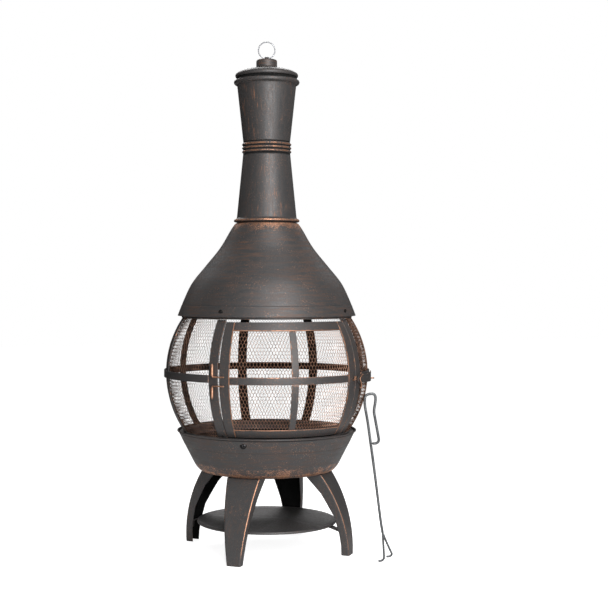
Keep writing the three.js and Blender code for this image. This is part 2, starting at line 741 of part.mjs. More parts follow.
function poker() {
  const grip = new THREE.CatmullRomCurve3([
    [226.5, 252.6], [231, 252.4], [236, 253], [240, 256.2], [241, 262], [239.2, 273.1],
    [236.6, 287.8], [233.7, 303.8], [231.3, 318.5], [232, 329.2], [233.9, 340],
    [234.5, 349.3], [233.2, 355.2], [229.4, 358.3], [224, 358.5], [216.5, 356.6],
    [212.7, 353.1], [211.3, 346.7], [211.8, 331.9], [217.6, 297.1], [223.5, 253],
    [228.2, 218.3], [236.4, 153], [244.2, 88.8], [248.9, 60],
  ].map(inPokerPlane), false, 'centripetal');
  const innerTine = new THREE.CatmullRomCurve3([
    [248.6, 62], [248.9, 54.9], [249.9, 36.4], [251.1, 12.6], [249.7, 6.2], [245.1, 3.3], [238.5, 2.4],
  ].map(inPokerPlane), false, 'centripetal');
  const outerTine = new THREE.CatmullRomCurve3([
    [248.9, 62], [251.3, 55.4], [258.7, 37.7], [266.6, 21], [267.7, 17.3], [266.1, 14.2],
    [262.6, 12.6], [255.9, 11.8],
  ].map(inPokerPlane), false, 'centripetal');
  return join([
    rodAlong(grip, POKER_ROD, 6, 60),
    rodAlong(innerTine, POKER_TINE, 6, 14),
    rodAlong(outerTine, POKER_TINE, 6, 14),
  ]);
}

// ---- assembly ---------------------------------------------------------------------------------
addPiece('fire_bowl', fireBowl(), paint);
addPiece('bottom_ring', bottomRing(), paint);
addPiece('top_ring', topRing(), paint);
addPiece('hood', hood(), paint);
addPiece('lower_chimney', lowerChimney(), paint);
addPiece('upper_chimney', upperChimney(), paint);

POST_ANGLES.forEach((angle, k) => {
  addPiece(`post_${k + 1}`, uprightBar(POST_WIDTH, SCREEN_LOW, SCREEN_HIGH), paint, angle);
});

const beltEnd = 45 + THREE.MathUtils.radToDeg(POST_WIDTH / 2 / SCREEN_RADIUS) - 0.5;
addPiece('belt', wallPatch({
  from: beltEnd,
  to: 360 - beltEnd,
  low: BELT_CENTRE - BELT_HEIGHT / 2,
  high: BELT_CENTRE + BELT_HEIGHT / 2,
  inner: BELT_INNER,
  outer: BELT_OUTER,
  across: 45,
}), paint);

const SCREEN_PANELS = [['right', 45], ['rear', 135], ['left', 225]];
SCREEN_PANELS.forEach(([side, start]) => {
  addPiece(`screen_mesh_${side}`, wallPatch({
    from: start + WELD_ANGLE,
    to: start + 90 - WELD_ANGLE,
    low: RING_TOP + GAP,
    high: SCREEN_HIGH - GAP,
    inner: MESH_INNER,
    outer: MESH_OUTER,
    across: 9,
    up: 6,
  }), expanded);
});

function addBolts(name, bolt, radius, slope) {
  bolt.angles.forEach((angle, k) => {
    const geometry = throughWall(boltGeometry(bolt), radius, bolt.height, slope);
    addPiece(`${name}_${k + 1}`, geometry, black, angle);
  });
}
addBolts('hood_bolt', HOOD_BOLT, skirtRadius(HOOD_BOLT.height), Math.atan(hoodSlope));
addBolts('bowl_bolt', BOWL_BOLT, bowlRadius(BOWL_BOLT.height), -Math.atan(bowlSlope));

addPiece('lid', lid(), paint);
addPiece('lid_knob', lidKnob(), paint);
addPiece('lid_strap', lidStrap(), black, RING_TURN);
addPiece('ring_handle', ringHandle(), chrome, RING_TURN);

addPiece('door_hinge_stile', doorStile(-1), paint);
addPiece('door_latch_stile', doorStile(1), paint);
addPiece('door_top_rail', doorRail(RAIL_HIGH_BOTTOM, DOOR_HIGH), paint);
addPiece('door_middle_rail', doorRail(middleRailLow, middleRailHigh), paint);
addPiece('door_bottom_rail', doorRail(DOOR_LOW, RAIL_LOW_TOP), paint);
addPiece('door_upper_bar', doorUpright(middleRailHigh + GAP, RAIL_HIGH_BOTTOM - GAP), paint);
addPiece('door_lower_bar', doorUpright(RAIL_LOW_TOP + GAP, middleRailLow - GAP), paint);
addPiece('door_mesh', doorMesh(), expanded);
addPiece('hinge_tube_upper', hingeTube(1), copper);
addPiece('hinge_tube_lower', hingeTube(-1), copper);
addPiece('hinge_pin_upper', hingePin(1), copper);
addPiece('hinge_pin_lower', hingePin(-1), copper);

addPiece('latch_pin', latchPin(), copper);
addPiece('latch_bar', latchBar(), paint);
addPiece('latch_pull', latchPull(), copper);
addPiece('latch_catch', latchCatch(), copper, LATCH_TIP_ANGLE - 3);

LEG_ANGLES.forEach((angle, k) => {
  addPiece(`leg_${k + 1}`, leg(), paint, angle);
  addPiece(`shelf_bracket_${k + 1}`, shelfBracket(), paint, angle);
});
addPiece('shelf', shelf(), paint);
addPiece('fire_grate', fireGrate(), castIron);
addPiece('poker', poker(), rodSteel, POKER_TURN);

export default chiminea;
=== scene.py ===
"""A steel mesh chiminea in brushed charcoal paint over copper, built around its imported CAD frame.

Sizes are in millimetres and become metres when a mesh is made. Angles are in degrees from the
door's side (-Y), growing towards +X, as in the frame.
"""

import json
import math

import bmesh
import bpy
from mathutils import Matrix, Vector

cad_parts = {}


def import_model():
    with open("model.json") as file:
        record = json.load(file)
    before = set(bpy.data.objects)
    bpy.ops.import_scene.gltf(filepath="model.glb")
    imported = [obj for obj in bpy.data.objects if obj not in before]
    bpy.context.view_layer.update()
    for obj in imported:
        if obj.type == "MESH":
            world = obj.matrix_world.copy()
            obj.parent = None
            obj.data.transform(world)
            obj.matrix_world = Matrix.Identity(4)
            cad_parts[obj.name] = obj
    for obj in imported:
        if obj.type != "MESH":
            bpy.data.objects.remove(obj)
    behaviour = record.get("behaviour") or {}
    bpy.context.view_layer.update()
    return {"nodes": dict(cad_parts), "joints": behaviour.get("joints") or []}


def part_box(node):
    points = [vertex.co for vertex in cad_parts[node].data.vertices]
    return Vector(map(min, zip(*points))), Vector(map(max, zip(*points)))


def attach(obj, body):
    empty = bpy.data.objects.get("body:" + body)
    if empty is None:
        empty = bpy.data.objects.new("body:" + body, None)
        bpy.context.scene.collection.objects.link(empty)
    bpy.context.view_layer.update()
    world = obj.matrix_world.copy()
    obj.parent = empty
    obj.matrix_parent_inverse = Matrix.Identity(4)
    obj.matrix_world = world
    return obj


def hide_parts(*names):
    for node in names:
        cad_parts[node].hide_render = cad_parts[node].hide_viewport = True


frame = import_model()

MM = 0.001
BODY = "stand_and_stack"


def cad_box_mm(node):
    """Lowest and highest corner of a CAD node, in millimetres."""
    low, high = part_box(node)
    return low / MM, high / MM


def joint(name):
    return next(j for j in frame["joints"] if j["name"] == name)


def polar(radius, angle, height):
    turn = math.radians(angle)
    return Vector((radius * math.sin(turn), -radius * math.cos(turn), height))


def across_way(angle):
    """The level direction that runs round the object at an angle."""
    turn = math.radians(angle)
    return Vector((math.cos(turn), math.sin(turn), 0))


def lerp(a, b, share):
    return a + (b - a) * share


# ---- driving dimensions, worked out from the frame ----
BELT_LOW, BELT_HIGH = cad_box_mm("belt")
BELT_CENTRE = (BELT_LOW.z + BELT_HIGH.z) / 2
BELT_HEIGHT = BELT_HIGH.z - BELT_LOW.z
BELT_THICKNESS = 2.2
BELT_INNER = BELT_HIGH.x - BELT_THICKNESS

SCREEN_RADIUS = BELT_INNER - 1
SCREEN_CENTRE = BELT_CENTRE + 1
BAR_THICKNESS = 3
BAR_MIDDLE = SCREEN_RADIUS - BAR_THICKNESS / 2
MESH_RADIUS = SCREEN_RADIUS - BAR_THICKNESS - 1.3
POST_WIDTH = 21.8
POST_ANGLES = [45 * k for k in range(1, 8)]
SCREEN_LOW, SCREEN_HIGH = (corner.z for corner in cad_box_mm("post_4"))

DOOR_HALF_ANGLE = 41.4
STILE_ANGLE = 6
DOOR_INSIDE = DOOR_HALF_ANGLE - STILE_ANGLE
DOOR_BAR_HALF_ANGLE = 1.95


# ---- meshes ----
def quads(rings, count, closed_ring=True, closed_run=False):
    """Four-sided faces between each ring of points and the next."""
    faces = []
    for ring in range(rings if closed_run else rings - 1):
        here, there = ring * count, (ring + 1) % rings * count
        for k in range(count if closed_ring else count - 1):
            m = (k + 1) % count
            faces.append((here + k, here + m, there + m, there + k))
    return faces


def end_caps(total, count):
    """One face over the first ring of points and one over the last."""
    return [tuple(reversed(range(count))), tuple(total - count + k for k in range(count))]


def piece_from(name, verts, faces, wear, material, inner=None):
    """Makes a smooth-shaded object; verts are in millimetres, wear is -1 (painted shade) to 1 (rubbed
    bare).
    """
    mesh = bpy.data.meshes.new(name)
    mesh.from_pydata([v * MM for v in verts], [], faces)
    layer = mesh.attributes.new("wear", "FLOAT", "POINT")
    layer.data.foreach_set("value", [float(w) for w in wear])
    clean = bmesh.new()
    clean.from_mesh(mesh)
    bmesh.ops.remove_doubles(clean, verts=clean.verts, dist=1e-6)
    bmesh.ops.recalc_face_normals(clean, faces=clean.faces)
    clean.to_mesh(mesh)
    clean.free()
    mesh.shade_smooth()
    piece = add_object(name, mesh)
    mesh.materials.append(material)
    # Faces turned inwards take the inner material, which paints shade.
    if inner is not None:
        mesh.materials.append(inner)
        for face in mesh.polygons:
            if faces_inwards(face):
                face.material_index = 1
    return piece


def faces_inwards(face):
    outward = Vector((face.center.x, face.center.y, 0)).normalized()
    return face.normal.dot(outward) < -0.2


def add_object(name, data):
    thing = bpy.data.objects.new(name, data)
    bpy.context.scene.collection.objects.link(thing)
    return thing


def evaluated_mesh(piece):
    """The piece's mesh with its modifiers carried out."""
    graph = bpy.context.evaluated_depsgraph_get()
    return bpy.data.meshes.new_from_object(piece.evaluated_get(graph))


def place(piece, body, slot, *nodes):
    """Rides the piece on its body and hides the CAD nodes it stands for; its slot is not used."""
    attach(piece, body)
    if nodes:
        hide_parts(*nodes)
    return piece


def level_normals(piece):
    modifier = piece.modifiers.new("level_normals", "WEIGHTED_NORMAL")
    modifier.weight = 90
    return piece


def settle(piece, *where):
    return place(level_normals(piece), *where)


def bend_over(start, corner, end, steps):
    """Points on the curve that replaces a corner."""
    shares = [step / steps for step in range(steps + 1)]
    return [start * (1 - t) ** 2 + corner * 2 * t * (1 - t) + end * t ** 2 for t in shares]


def rounded(corners, closed=False, steps=4):
    """Rounds a line of corners (x, y, wear, reach, fade), each over its reach along both sides."""
    count = len(corners)
    line = []
    for k, (x, y, wear, reach, *fade) in enumerate(corners):
        here = Vector((x, y))
        if not closed and k in (0, count - 1):
            line.append((here.x, here.y, wear, *fade))
            continue
        before = Vector(corners[k - 1][:2])
        after = Vector(corners[(k + 1) % count][:2])
        start = here + (before - here) * min(reach / (before - here).length, 0.5)
        end = here + (after - here) * min(reach / (after - here).length, 0.5)
        line += [(point.x, point.y, wear, *fade) for point in bend_over(start, here, end, steps)]
    return line


def worn(line, step, fade, closed=False):
    """Splits long stretches and lets the wear, and the painted shade, of each corner fade along the line.
    """
    points = [Vector(p[:2]) for p in line]
    if closed:
        points.append(points[0])
    fine = []
    marks = []
    travelled = 0
    for k, corner in enumerate(line):
        marks.append((travelled, corner[2], corner[3] if len(corner) > 3 else fade))
        if k == len(points) - 1:
            fine.append((points[-1], travelled))
            break
        length = (points[k + 1] - points[k]).length
        cuts = max(1, math.ceil(length / step))
        for cut in range(cuts):
            fine.append((points[k].lerp(points[k + 1], cut / cuts), travelled + length * cut / cuts))
        travelled += length

    def strongest(distance, sign):
        best = 0
        for mark, strength, reach in marks:
            gap = abs(distance - mark)
            if closed:
                gap = min(gap, travelled - gap)
            best = max(best, sign * strength * math.exp(-gap / reach))
        return best

    return [(point.x, point.y, strongest(d, 1) - strongest(d, -1)) for point, d in fine]


def spin(name, outline, material, inner=None, segments=144, closed=True, shape=None):
    """Turns an outline of (radius, height, wear) about the upright axis."""
    verts, wear = [], []
    for turn in range(segments):
        for radius, height, amount in outline:
            point = polar(radius, 360 * turn / segments, height)
            verts.append(shape(point) if shape else point)
            wear.append(amount)
    faces = quads(segments, len(outline), closed, True)
    return piece_from(name, verts, faces, wear, material, inner)


def turned(name, corners, material, step, fade, segments=144, shape=None):
    """A solid that stands on the axis, where its line of corners starts and ends."""
    outline = worn(rounded(corners), step, fade)
    return spin(name, outline, material, None, segments, closed=False, shape=shape)


def band(corners, step, fade):
    """The closed, rounded and worn outline of a solid hoop."""
    return worn(rounded(corners, closed=True, steps=2), step, fade, closed=True)


def thickened(outer, thickness):
    """A line (x, y, ...) and, coming back, the same line moved aside by a sheet's thickness."""
    inner = []
    for k, (x, y, *_) in enumerate(outer):
        before = Vector(outer[max(k - 1, 0)][:2])
        after = Vector(outer[min(k + 1, len(outer) - 1)][:2])
        along = (after - before).normalized()
        inner.append((x - along.y * thickness, y + along.x * thickness, 0))
    return outer + inner[::-1]


def shell(name, node, corners, thickness, material, segments=144, fade=1.6):
    """Turned sheet metal whose outer face follows the corners; its inside is painted dark as shade."""
    outline = worn(thickened(rounded(corners), thickness), step=6, fade=fade, closed=True)
    piece = spin(name, outline, material, dark_painted_shade, segments)
    settle(piece, BODY, "charcoal_paint", node)


def bar_section(width, thickness, wear=(1, 1), bevel=0.7, step=3, fade=1.4):
    """Rounded rectangle (across, outward, wear); wear is for its two long outer edges."""
    half, deep = width / 2, thickness / 2
    corners = [
        (-half, -deep, wear[0] * 0.5, bevel), (half, -deep, wear[1] * 0.5, bevel),
        (half, deep, wear[1], bevel), (-half, deep, wear[0], bevel),
    ]
    return band(corners, step, fade)


def sweep(name, section, stops, at, material, bevel=0.6, end_wear=(0, 0), end_fade=2, inner=None):
    """Carries a section along stops; at(stop, across, outward) gives each point's place."""
    first, last = stops[0], stops[-1]
    run = (at(last, 0, 0) - at(first, 0, 0)).length
    nudge = (last - first) * bevel / run
    rings = [(first, bevel), (first + nudge, 0), *[(stop, 0) for stop in stops[1:-1]],
             (last - nudge, 0), (last, bevel)]
    verts, wear = [], []
    for stop, inset in rings:
        gone = abs(stop - first) / abs(last - first) * run
        near, far = math.exp(-gone / end_fade), math.exp((gone - run) / end_fade)
        ends = max(end_wear[0] * near, end_wear[1] * far)
        for across, outward, amount in section:
            across -= math.copysign(min(inset, abs(across)), across)
            outward -= math.copysign(min(inset, abs(outward)), outward)
            verts.append(at(stop, across, outward))
            wear.append(max(amount, ends))
    faces = quads(len(rings), len(section)) + end_caps(len(verts), len(section))
    return level_normals(piece_from(name, verts, faces, wear, material, inner))


def stops(start, end, count):
    return [lerp(start, end, k / count) for k in range(count + 1)]


CAP = [(0.30, 0.02), (0.70, 0.25), (0.94, 0.65)]
WIRE_SIDES = 16


def tube(name, path, radius, material, cyclic=False):
    """A round wire along a path of points in millimetres, with rounded ends."""
    count = len(path)
    rings = []
    normal = None
    for k, point in enumerate(path):
        before = path[k - 1] if (cyclic or k > 0) else point
        after = path[(k + 1) % count] if (cyclic or k < count - 1) else point
        along = (after - before).normalized()
        if normal is None:
            normal = along.orthogonal().normalized()
        normal = (normal - along * normal.dot(along)).normalized()
        rings.append((point, along, normal, radius))
    if not cyclic:
        ends = (rings[0][0], rings[-1][0])
        inside = [ring for ring in rings if min((ring[0] - end).length for end in ends) > radius]
        caps = []
        for (point, along, normal, _), way, steps in ((rings[0], 1, CAP), (rings[-1], -1, CAP[::-1])):
            caps.append([(point + way * along * radius * back, along, normal, radius * size)
                         for size, back in steps])
        rings = caps[0] + inside + caps[1]
    verts = []
    for point, along, normal, size in rings:
        side = along.cross(normal)
        for s in range(WIRE_SIDES):
            turn = 2 * math.pi * s / WIRE_SIDES
            verts.append(point + (normal * math.cos(turn) + side * math.sin(turn)) * size)
    faces = quads(len(rings), WIRE_SIDES, True, cyclic)
    if not cyclic:
        faces += end_caps(len(verts), WIRE_SIDES)
    return piece_from(name, verts, faces, [0] * len(verts), material)


def smooth_path(points, steps):
    """A Catmull-Rom line through the points."""
    line = []
    for k in range(len(points) - 1):
        a = points[max(k - 1, 0)]
        b, c = points[k], points[k + 1]
        d = points[min(k + 2, len(points) - 1)]
        for step in range(steps):
            t = step / steps
            line.append(0.5 * ((2 * b) + (c - a) * t + (2 * a - 5 * b + 4 * c - d) * t ** 2
                               + (3 * b - a - 3 * c + d) * t ** 3))
    line.append(points[-1])
    return line


def bent_path(points, bend, steps=6):
    """Straight runs whose corners are bent over a reach."""
    line = [points[0]]
    for k in range(1, len(points) - 1):
        corner = points[k]
        start = corner + (points[k - 1] - corner).normalized() * bend
        end = corner + (points[k + 1] - corner).normalized() * bend
        line += bend_over(start, corner, end, steps)
    line.append(points[-1])
    return line


def joined(name, pieces):
    """One object out of several, with their materials."""
    main = pieces[0]
    whole = bmesh.new()
    materials = []
    for piece in pieces:
        base = len(materials)
        materials.extend(piece.data.materials)
        part = piece.data.copy()
        for face in part.polygons:
            face.material_index += base
        whole.from_mesh(part)
        bpy.data.meshes.remove(part)
    whole.to_mesh(main.data)
    whole.free()
    main.data.materials.clear()
    for material in materials:
        main.data.materials.append(material)
    for piece in pieces[1:]:
        bpy.data.objects.remove(piece)
    main.name = name
    main.data.name = name
    return main


# ---- materials ----
class Nodes:
    """Short names for the node calls that every finish uses."""

    def __init__(self, name):
        self.material = bpy.data.materials.new(name)
        self.material.use_nodes = True
        self.tree = self.material.node_tree
        self.shader = self.tree.nodes["Principled BSDF"]
        self.coords = self.tree.nodes.new("ShaderNodeTexCoord").outputs["Object"]

    def feed(self, socket, value):
        """Links an output to the socket, or gives the socket a plain value."""
        if hasattr(value, "links"):
            self.tree.links.new(value, socket)
        else:
            socket.default_value = (*value, 1) if socket.type == "RGBA" else value

    def set(self, name, value):
        self.feed(self.shader.inputs[name], value)

    def add(self, kind, **inputs):
        """A new node with its inputs fed; an underscore in a name stands for a space."""
        node = self.tree.nodes.new("ShaderNode" + kind)
        for name, value in inputs.items():
            self.feed(node.inputs[name.replace("_", " ")], value)
        return node

    def noise(self, scale, detail, stretch=(1, 1, 1), roughness=0.55):
        stretched = self.add("Mapping", Scale=stretch, Vector=self.coords).outputs["Vector"]
        node = self.add("TexNoise", Scale=scale, Detail=detail, Roughness=roughness, Vector=stretched)
        return node.outputs["Fac"]

    def wear(self):
        node = self.add("Attribute")
        node.attribute_name = "wear"
        return node.outputs["Fac"]

    def math(self, operation, first, second):
        node = self.add("Math")
        node.operation = operation
        for socket, value in zip(node.inputs, (first, second)):
            self.feed(socket, value)
        return node.outputs["Value"]

    def times(self, first, second):
        return self.math("MULTIPLY", first, second)

    def plus(self, first, second):
        return self.math("ADD", first, second)

    def remap(self, value, low, high, to_low=0.0, to_high=1.0):
        node = self.add("MapRange", Value=value, From_Min=low, From_Max=high, To_Min=to_low, To_Max=to_high)
        node.interpolation_type = "SMOOTHSTEP"
        return node.outputs["Result"]

    def mix(self, factor, first, second):
        node = self.add("Mix", Factor=factor)
        node.data_type = "RGBA"
        self.feed(node.inputs[6], first)
        self.feed(node.inputs[7], second)
        return node.outputs[2]

    def bump(self, height, strength, distance):
        node = self.add("Bump", Strength=strength, Distance=distance, Height=height)
        self.set("Normal", node.outputs["Normal"])


CHARCOAL = (0.070, 0.069, 0.070)
# Tone of the painted shade inside the shells and round the bolt heads.
PAINTED_SHADE_TONE = (0.008, 0.0075, 0.007)
BROWN = (0.115, 0.071, 0.054)
COPPER = (0.66, 0.36, 0.23)
DULL_COPPER = (0.27, 0.135, 0.085)
BLACK = (0.004, 0.004, 0.004)
UP = (1, 1, 0.10)
ROUND = (0.10, 0.10, 1)
PLAIN = (1, 1, 1)


def shade(tone, amount):
    return tuple(c * amount for c in tone)


def paint(name, brush, flecks, brown, smear):
    """Charcoal paint brushed over copper: the copper shows at worn edges, in flecks and in smears; where
    wear falls below zero, shade is painted in towards black.
    """
    n = Nodes(name)
    wear = n.wear()
    broad = n.noise(8, 2)
    patch = n.noise(42, 3)
    strokes = n.noise(230, 4, brush, 0.6)
    specks = n.noise(430, 3, PLAIN, 0.7)
    grain = n.noise(1100, 2)
    rubbed = n.times(wear, n.remap(patch, 0.3, 0.7, 0.75, 1.2))
    ragged = n.plus(rubbed, n.times(n.math("SUBTRACT", specks, 0.5), 1.3))
    edges = n.remap(ragged, 0.50, 0.72)
    dots = n.times(n.remap(specks, 0.58, 0.66), n.remap(patch, 0.44, 0.60, 0.08, flecks))
    smears = n.times(n.remap(strokes, 0.58, 0.72), n.remap(broad, 0.44, 0.60, 0.0, smear))
    dark = n.mix(n.remap(grain, 0.3, 0.7), shade(CHARCOAL, 1.15), shade(CHARCOAL, 0.75))
    warmth = n.times(n.remap(strokes, 0.38, 0.68), n.remap(broad, 0.35, 0.65, brown * 0.4, brown))
    warm = n.mix(smears, n.mix(warmth, dark, BROWN), DULL_COPPER)
    copper_mask = n.math("MAXIMUM", edges, dots)
    bright = n.mix(n.remap(grain, 0.35, 0.65), COPPER, DULL_COPPER)
    coated = n.mix(copper_mask, warm, bright)
    # Painted shade: negative wear darkens grooves, creases and crevices towards black, and roughens them.
    painted_shade = n.remap(n.times(wear, -1.0), 0.1, 0.8)
    n.set("Base Color", n.mix(painted_shade, coated, BLACK))
    gloss = n.remap(strokes, 0.25, 0.75, 0.43, 0.60)
    n.set("Roughness", n.plus(gloss, n.times(painted_shade, 0.4)))
    n.set("Metallic", n.remap(copper_mask, 0, 1, 0.40, 0.85))
    n.bump(n.plus(n.times(strokes, 0.6), n.times(specks, 0.4)), 0.30, 0.0004)
    return n.material


# A dark rough matte: the grate's cast iron, and painted shade on inward faces and round the bolt heads.
def matte_dark(name, tone=PAINTED_SHADE_TONE, other=None):
    n = Nodes(name)
    broad = n.noise(25, 4)
    grain = n.noise(700, 4)
    n.set("Base Color", n.mix(n.remap(broad, 0.4, 0.7), tone, other or shade(tone, 1.8)))
    n.set("Roughness", n.remap(grain, 0.3, 0.7, 0.65, 0.9))
    n.set("Specular IOR Level", 0.12)
    n.bump(grain, 0.4, 0.0005)
    return n.material


def strands(name, low, high):
    """Expanded metal: brown paint with copper on its raised strands."""
    n = Nodes(name)
    patches = n.noise(60, 3)
    grain = n.noise(800, 3)
    tone = n.mix(n.remap(patches, 0.35, 0.65), low, high)
    n.set("Base Color", n.mix(n.remap(grain, 0.56, 0.68), tone, (0.52, 0.30, 0.20)))
    n.set("Roughness", n.remap(grain, 0.3, 0.7, 0.35, 0.55))
    n.set("Metallic", 0.5)
    n.bump(grain, 0.3, 0.0003)
    return n.material


def plain_metal(name, tone, other, roughness, metallic, scale, stretch=PLAIN, bump=0.2):
    n = Nodes(name)
    grain = n.noise(scale, 4, stretch)
    broad = n.noise(40, 2)
    blend = n.times(n.plus(grain, broad), 0.5)
    n.set("Base Color", n.mix(n.remap(blend, 0.38, 0.62), tone, other))
    n.set("Roughness", n.remap(grain, 0.3, 0.7, roughness * 0.8, roughness * 1.25))
    n.set("Metallic", metallic)
    n.bump(grain, bump, 0.0003)
    return n.material


hood_paint = paint("hood_paint", ROUND, flecks=0.5, brown=0.7, smear=0.14)
chimney_paint = paint("chimney_paint", UP, flecks=0.4, brown=0.35, smear=1.0)
bowl_paint = paint("bowl_paint", ROUND, flecks=0.7, brown=0.6, smear=0.2)
bar_paint = paint("bar_paint", PLAIN, flecks=0.5, brown=0.45, smear=0.35)
belt_paint = paint("belt_paint", ROUND, flecks=0.1, brown=0.2, smear=0)
leg_paint = paint("leg_paint", UP, flecks=0.28, brown=0.3, smear=0.4)
shelf_paint = paint("shelf_paint", PLAIN, flecks=0.12, brown=0.2, smear=0)
lid_paint = paint("lid_paint", ROUND, flecks=0.3, brown=0.3, smear=0.2)
knob_paint = paint("knob_paint", ROUND, flecks=1.0, brown=0.8, smear=0.9)
# Painted shade: the inner faces of the shells, posts and belt are painted near black, and so is the ring
# round each bolt head.
dark_painted_shade = matte_dark("dark_painted_shade")
# The inside of each leg channel is painted black as shade.
leg_inside_painted_shade = matte_dark("leg_inside_painted_shade", (0.005, 0.005, 0.005))
strand_paint = strands("strand_paint", (0.07, 0.039, 0.028), (0.24, 0.130, 0.088))
# Painted light: the door's strands are a brighter copy of the screens' strand finish, standing for the
# light that falls on the front.
door_strand_painted_light = strands("door_strand_painted_light", (0.32, 0.172, 0.116), (0.60, 0.335, 0.225))
# The inward faces of the strands are painted darker as shade.
strand_inside_painted_shade = matte_dark("strand_inside_painted_shade", (0.010, 0.008, 0.007), (0.03, 0.019, 0.014))
copper_metal = plain_metal("rubbed_copper", COPPER, DULL_COPPER, 0.38, 0.8, 500)
black_metal = plain_metal("black_fastener_steel", (0.012, 0.012, 0.013), (0.03, 0.028, 0.027),
                          0.30, 0.6, 700)
chrome_metal = plain_metal("chromed_wire_metal", (0.16, 0.16, 0.17), (0.42, 0.43, 0.45),
                           0.25, 1.0, 300, PLAIN, 0.05)
rod_metal = plain_metal("grey_rod_steel", (0.125, 0.130, 0.135), (0.08, 0.083, 0.087), 0.42, 0.7, 500, UP)
cast_iron = matte_dark("sooty_cast_iron", (0.012, 0.011, 0.010))


# ---- fire bowl ----
BOWL_RIM = 268.4
BOWL_RIM_RADIUS = 200.2
SHEET = 1.8


def fire_bowl():
    low = cad_box_mm("fire_bowl")[0].z
    # Negative wear is painted shade: a dark line in the crease and under the rolled lip.
    corners = [
        (0.01, low, 0, 0), (139, low, 0.45, 8, 4), (151, low + 2.9, 0.70, 8, 5),
        (160.6, low + 13.8, 0.52, 9, 10), (184.7, 237.3, -0.45, 0.6, 0.9), (185.7, 238.8, 0.32, 0.5, 3),
        (196.4, 261.0, 0.36, 3, 4), (198.2, 264.6, -0.8, 1.4, 0.8), (201.4, 266.2, 0.2, 1.4, 1),
        (201.6, BOWL_RIM, 0.2, 0.8, 1), (199.0, BOWL_RIM + 0.2, 0.2, 0.8, 1),
    ]
    shell("fire_bowl_shell", "fire_bowl", corners, SHEET, bowl_paint, segments=180)


RING_TOP = SCREEN_LOW - 0.3
FLANGE_TOP = 264.9


def wall_reach(radius, height):
    return math.sqrt(radius ** 2 - (height - SCREEN_CENTRE) ** 2)


def firebox_rings():
    crease_radius, crease = 185.1, 238.3
    slope = (BOWL_RIM_RADIUS - crease_radius) / (BOWL_RIM - crease)
    gap = SHEET * math.hypot(1, slope) + 0.5
    low, shoulder, ring_sheet = 246, 262, 2.4

    def bowl_wall(height):
        return crease_radius + slope * (height - crease) - gap

    outline = [(wall_reach(SCREEN_RADIUS - BAR_THICKNESS, shoulder), shoulder),
               (bowl_wall(shoulder) - ring_sheet, shoulder), (bowl_wall(low) - ring_sheet, low),
               (bowl_wall(low), low), (bowl_wall(FLANGE_TOP), FLANGE_TOP),
               (wall_reach(SCREEN_RADIUS, FLANGE_TOP), FLANGE_TOP),
               (wall_reach(SCREEN_RADIUS, RING_TOP), RING_TOP),
               (wall_reach(SCREEN_RADIUS - BAR_THICKNESS, RING_TOP), RING_TOP)]
    corners = [(r, z, 0.2, 0.7) for r, z in outline]
    ring = spin("bottom_ring_band", band(corners, 5, 1.5), bar_paint)
    settle(ring, BODY, "charcoal_paint", "bottom_ring")

    low, high = cad_box_mm("top_ring")
    outer, inner = high.x, high.x - BAR_THICKNESS
    corners = [(inner, low.z, 0.3, 0.7), (outer, low.z, 0.5, 0.7), (outer, high.z, 0.2, 0.7),
               (inner, high.z, 0.2, 0.7)]
    ring = spin("top_ring_band", band(corners, 5, 1.5), bar_paint)
    settle(ring, BODY, "charcoal_paint", "top_ring")


# ---- hood and chimney ----
HOOD_FLANK = [(169.6, 595.3), (137.5, 636), (105, 676.6), (81.1, 717)]


def hood():
    low, high = cad_box_mm("hood")
    crease = low.z + 23
    neck, collar = (71.5, 731), 64.6
    guide = [Vector(p) for p in [(191.8, crease), *HOOD_FLANK, neck]]
    flank = smooth_path(guide, 6)
    # Negative wear is painted shade in the crease under the skirt and at the collar.
    corners = [
        (200.7, low.z, 0.55, 0.5, 0.8), (200.2, low.z + 1.2, 0.0, 0.5),
        (192.1, crease - 0.7, 0.30, 0.4, 3), (191.5, crease, -0.6, 0.4, 0.8),
        *[(point.x, point.y, 0, 2) for point in flank[1:-1]],
        (*neck, 0.74, 3, 32), (collar, 734, -0.5, 2.5, 3), (collar, high.z, 0, 0.5),
    ]
    shell("hood_shell", "hood", corners, SHEET, hood_paint, segments=180, fade=2.2)


PIPE_SHEET = 1.2
WAIST_RADIUS = 53.6
WAIST_LOW = 889
BEAD_PITCH = 8.2
WAIST_TOP = WAIST_LOW + 3 * BEAD_PITCH


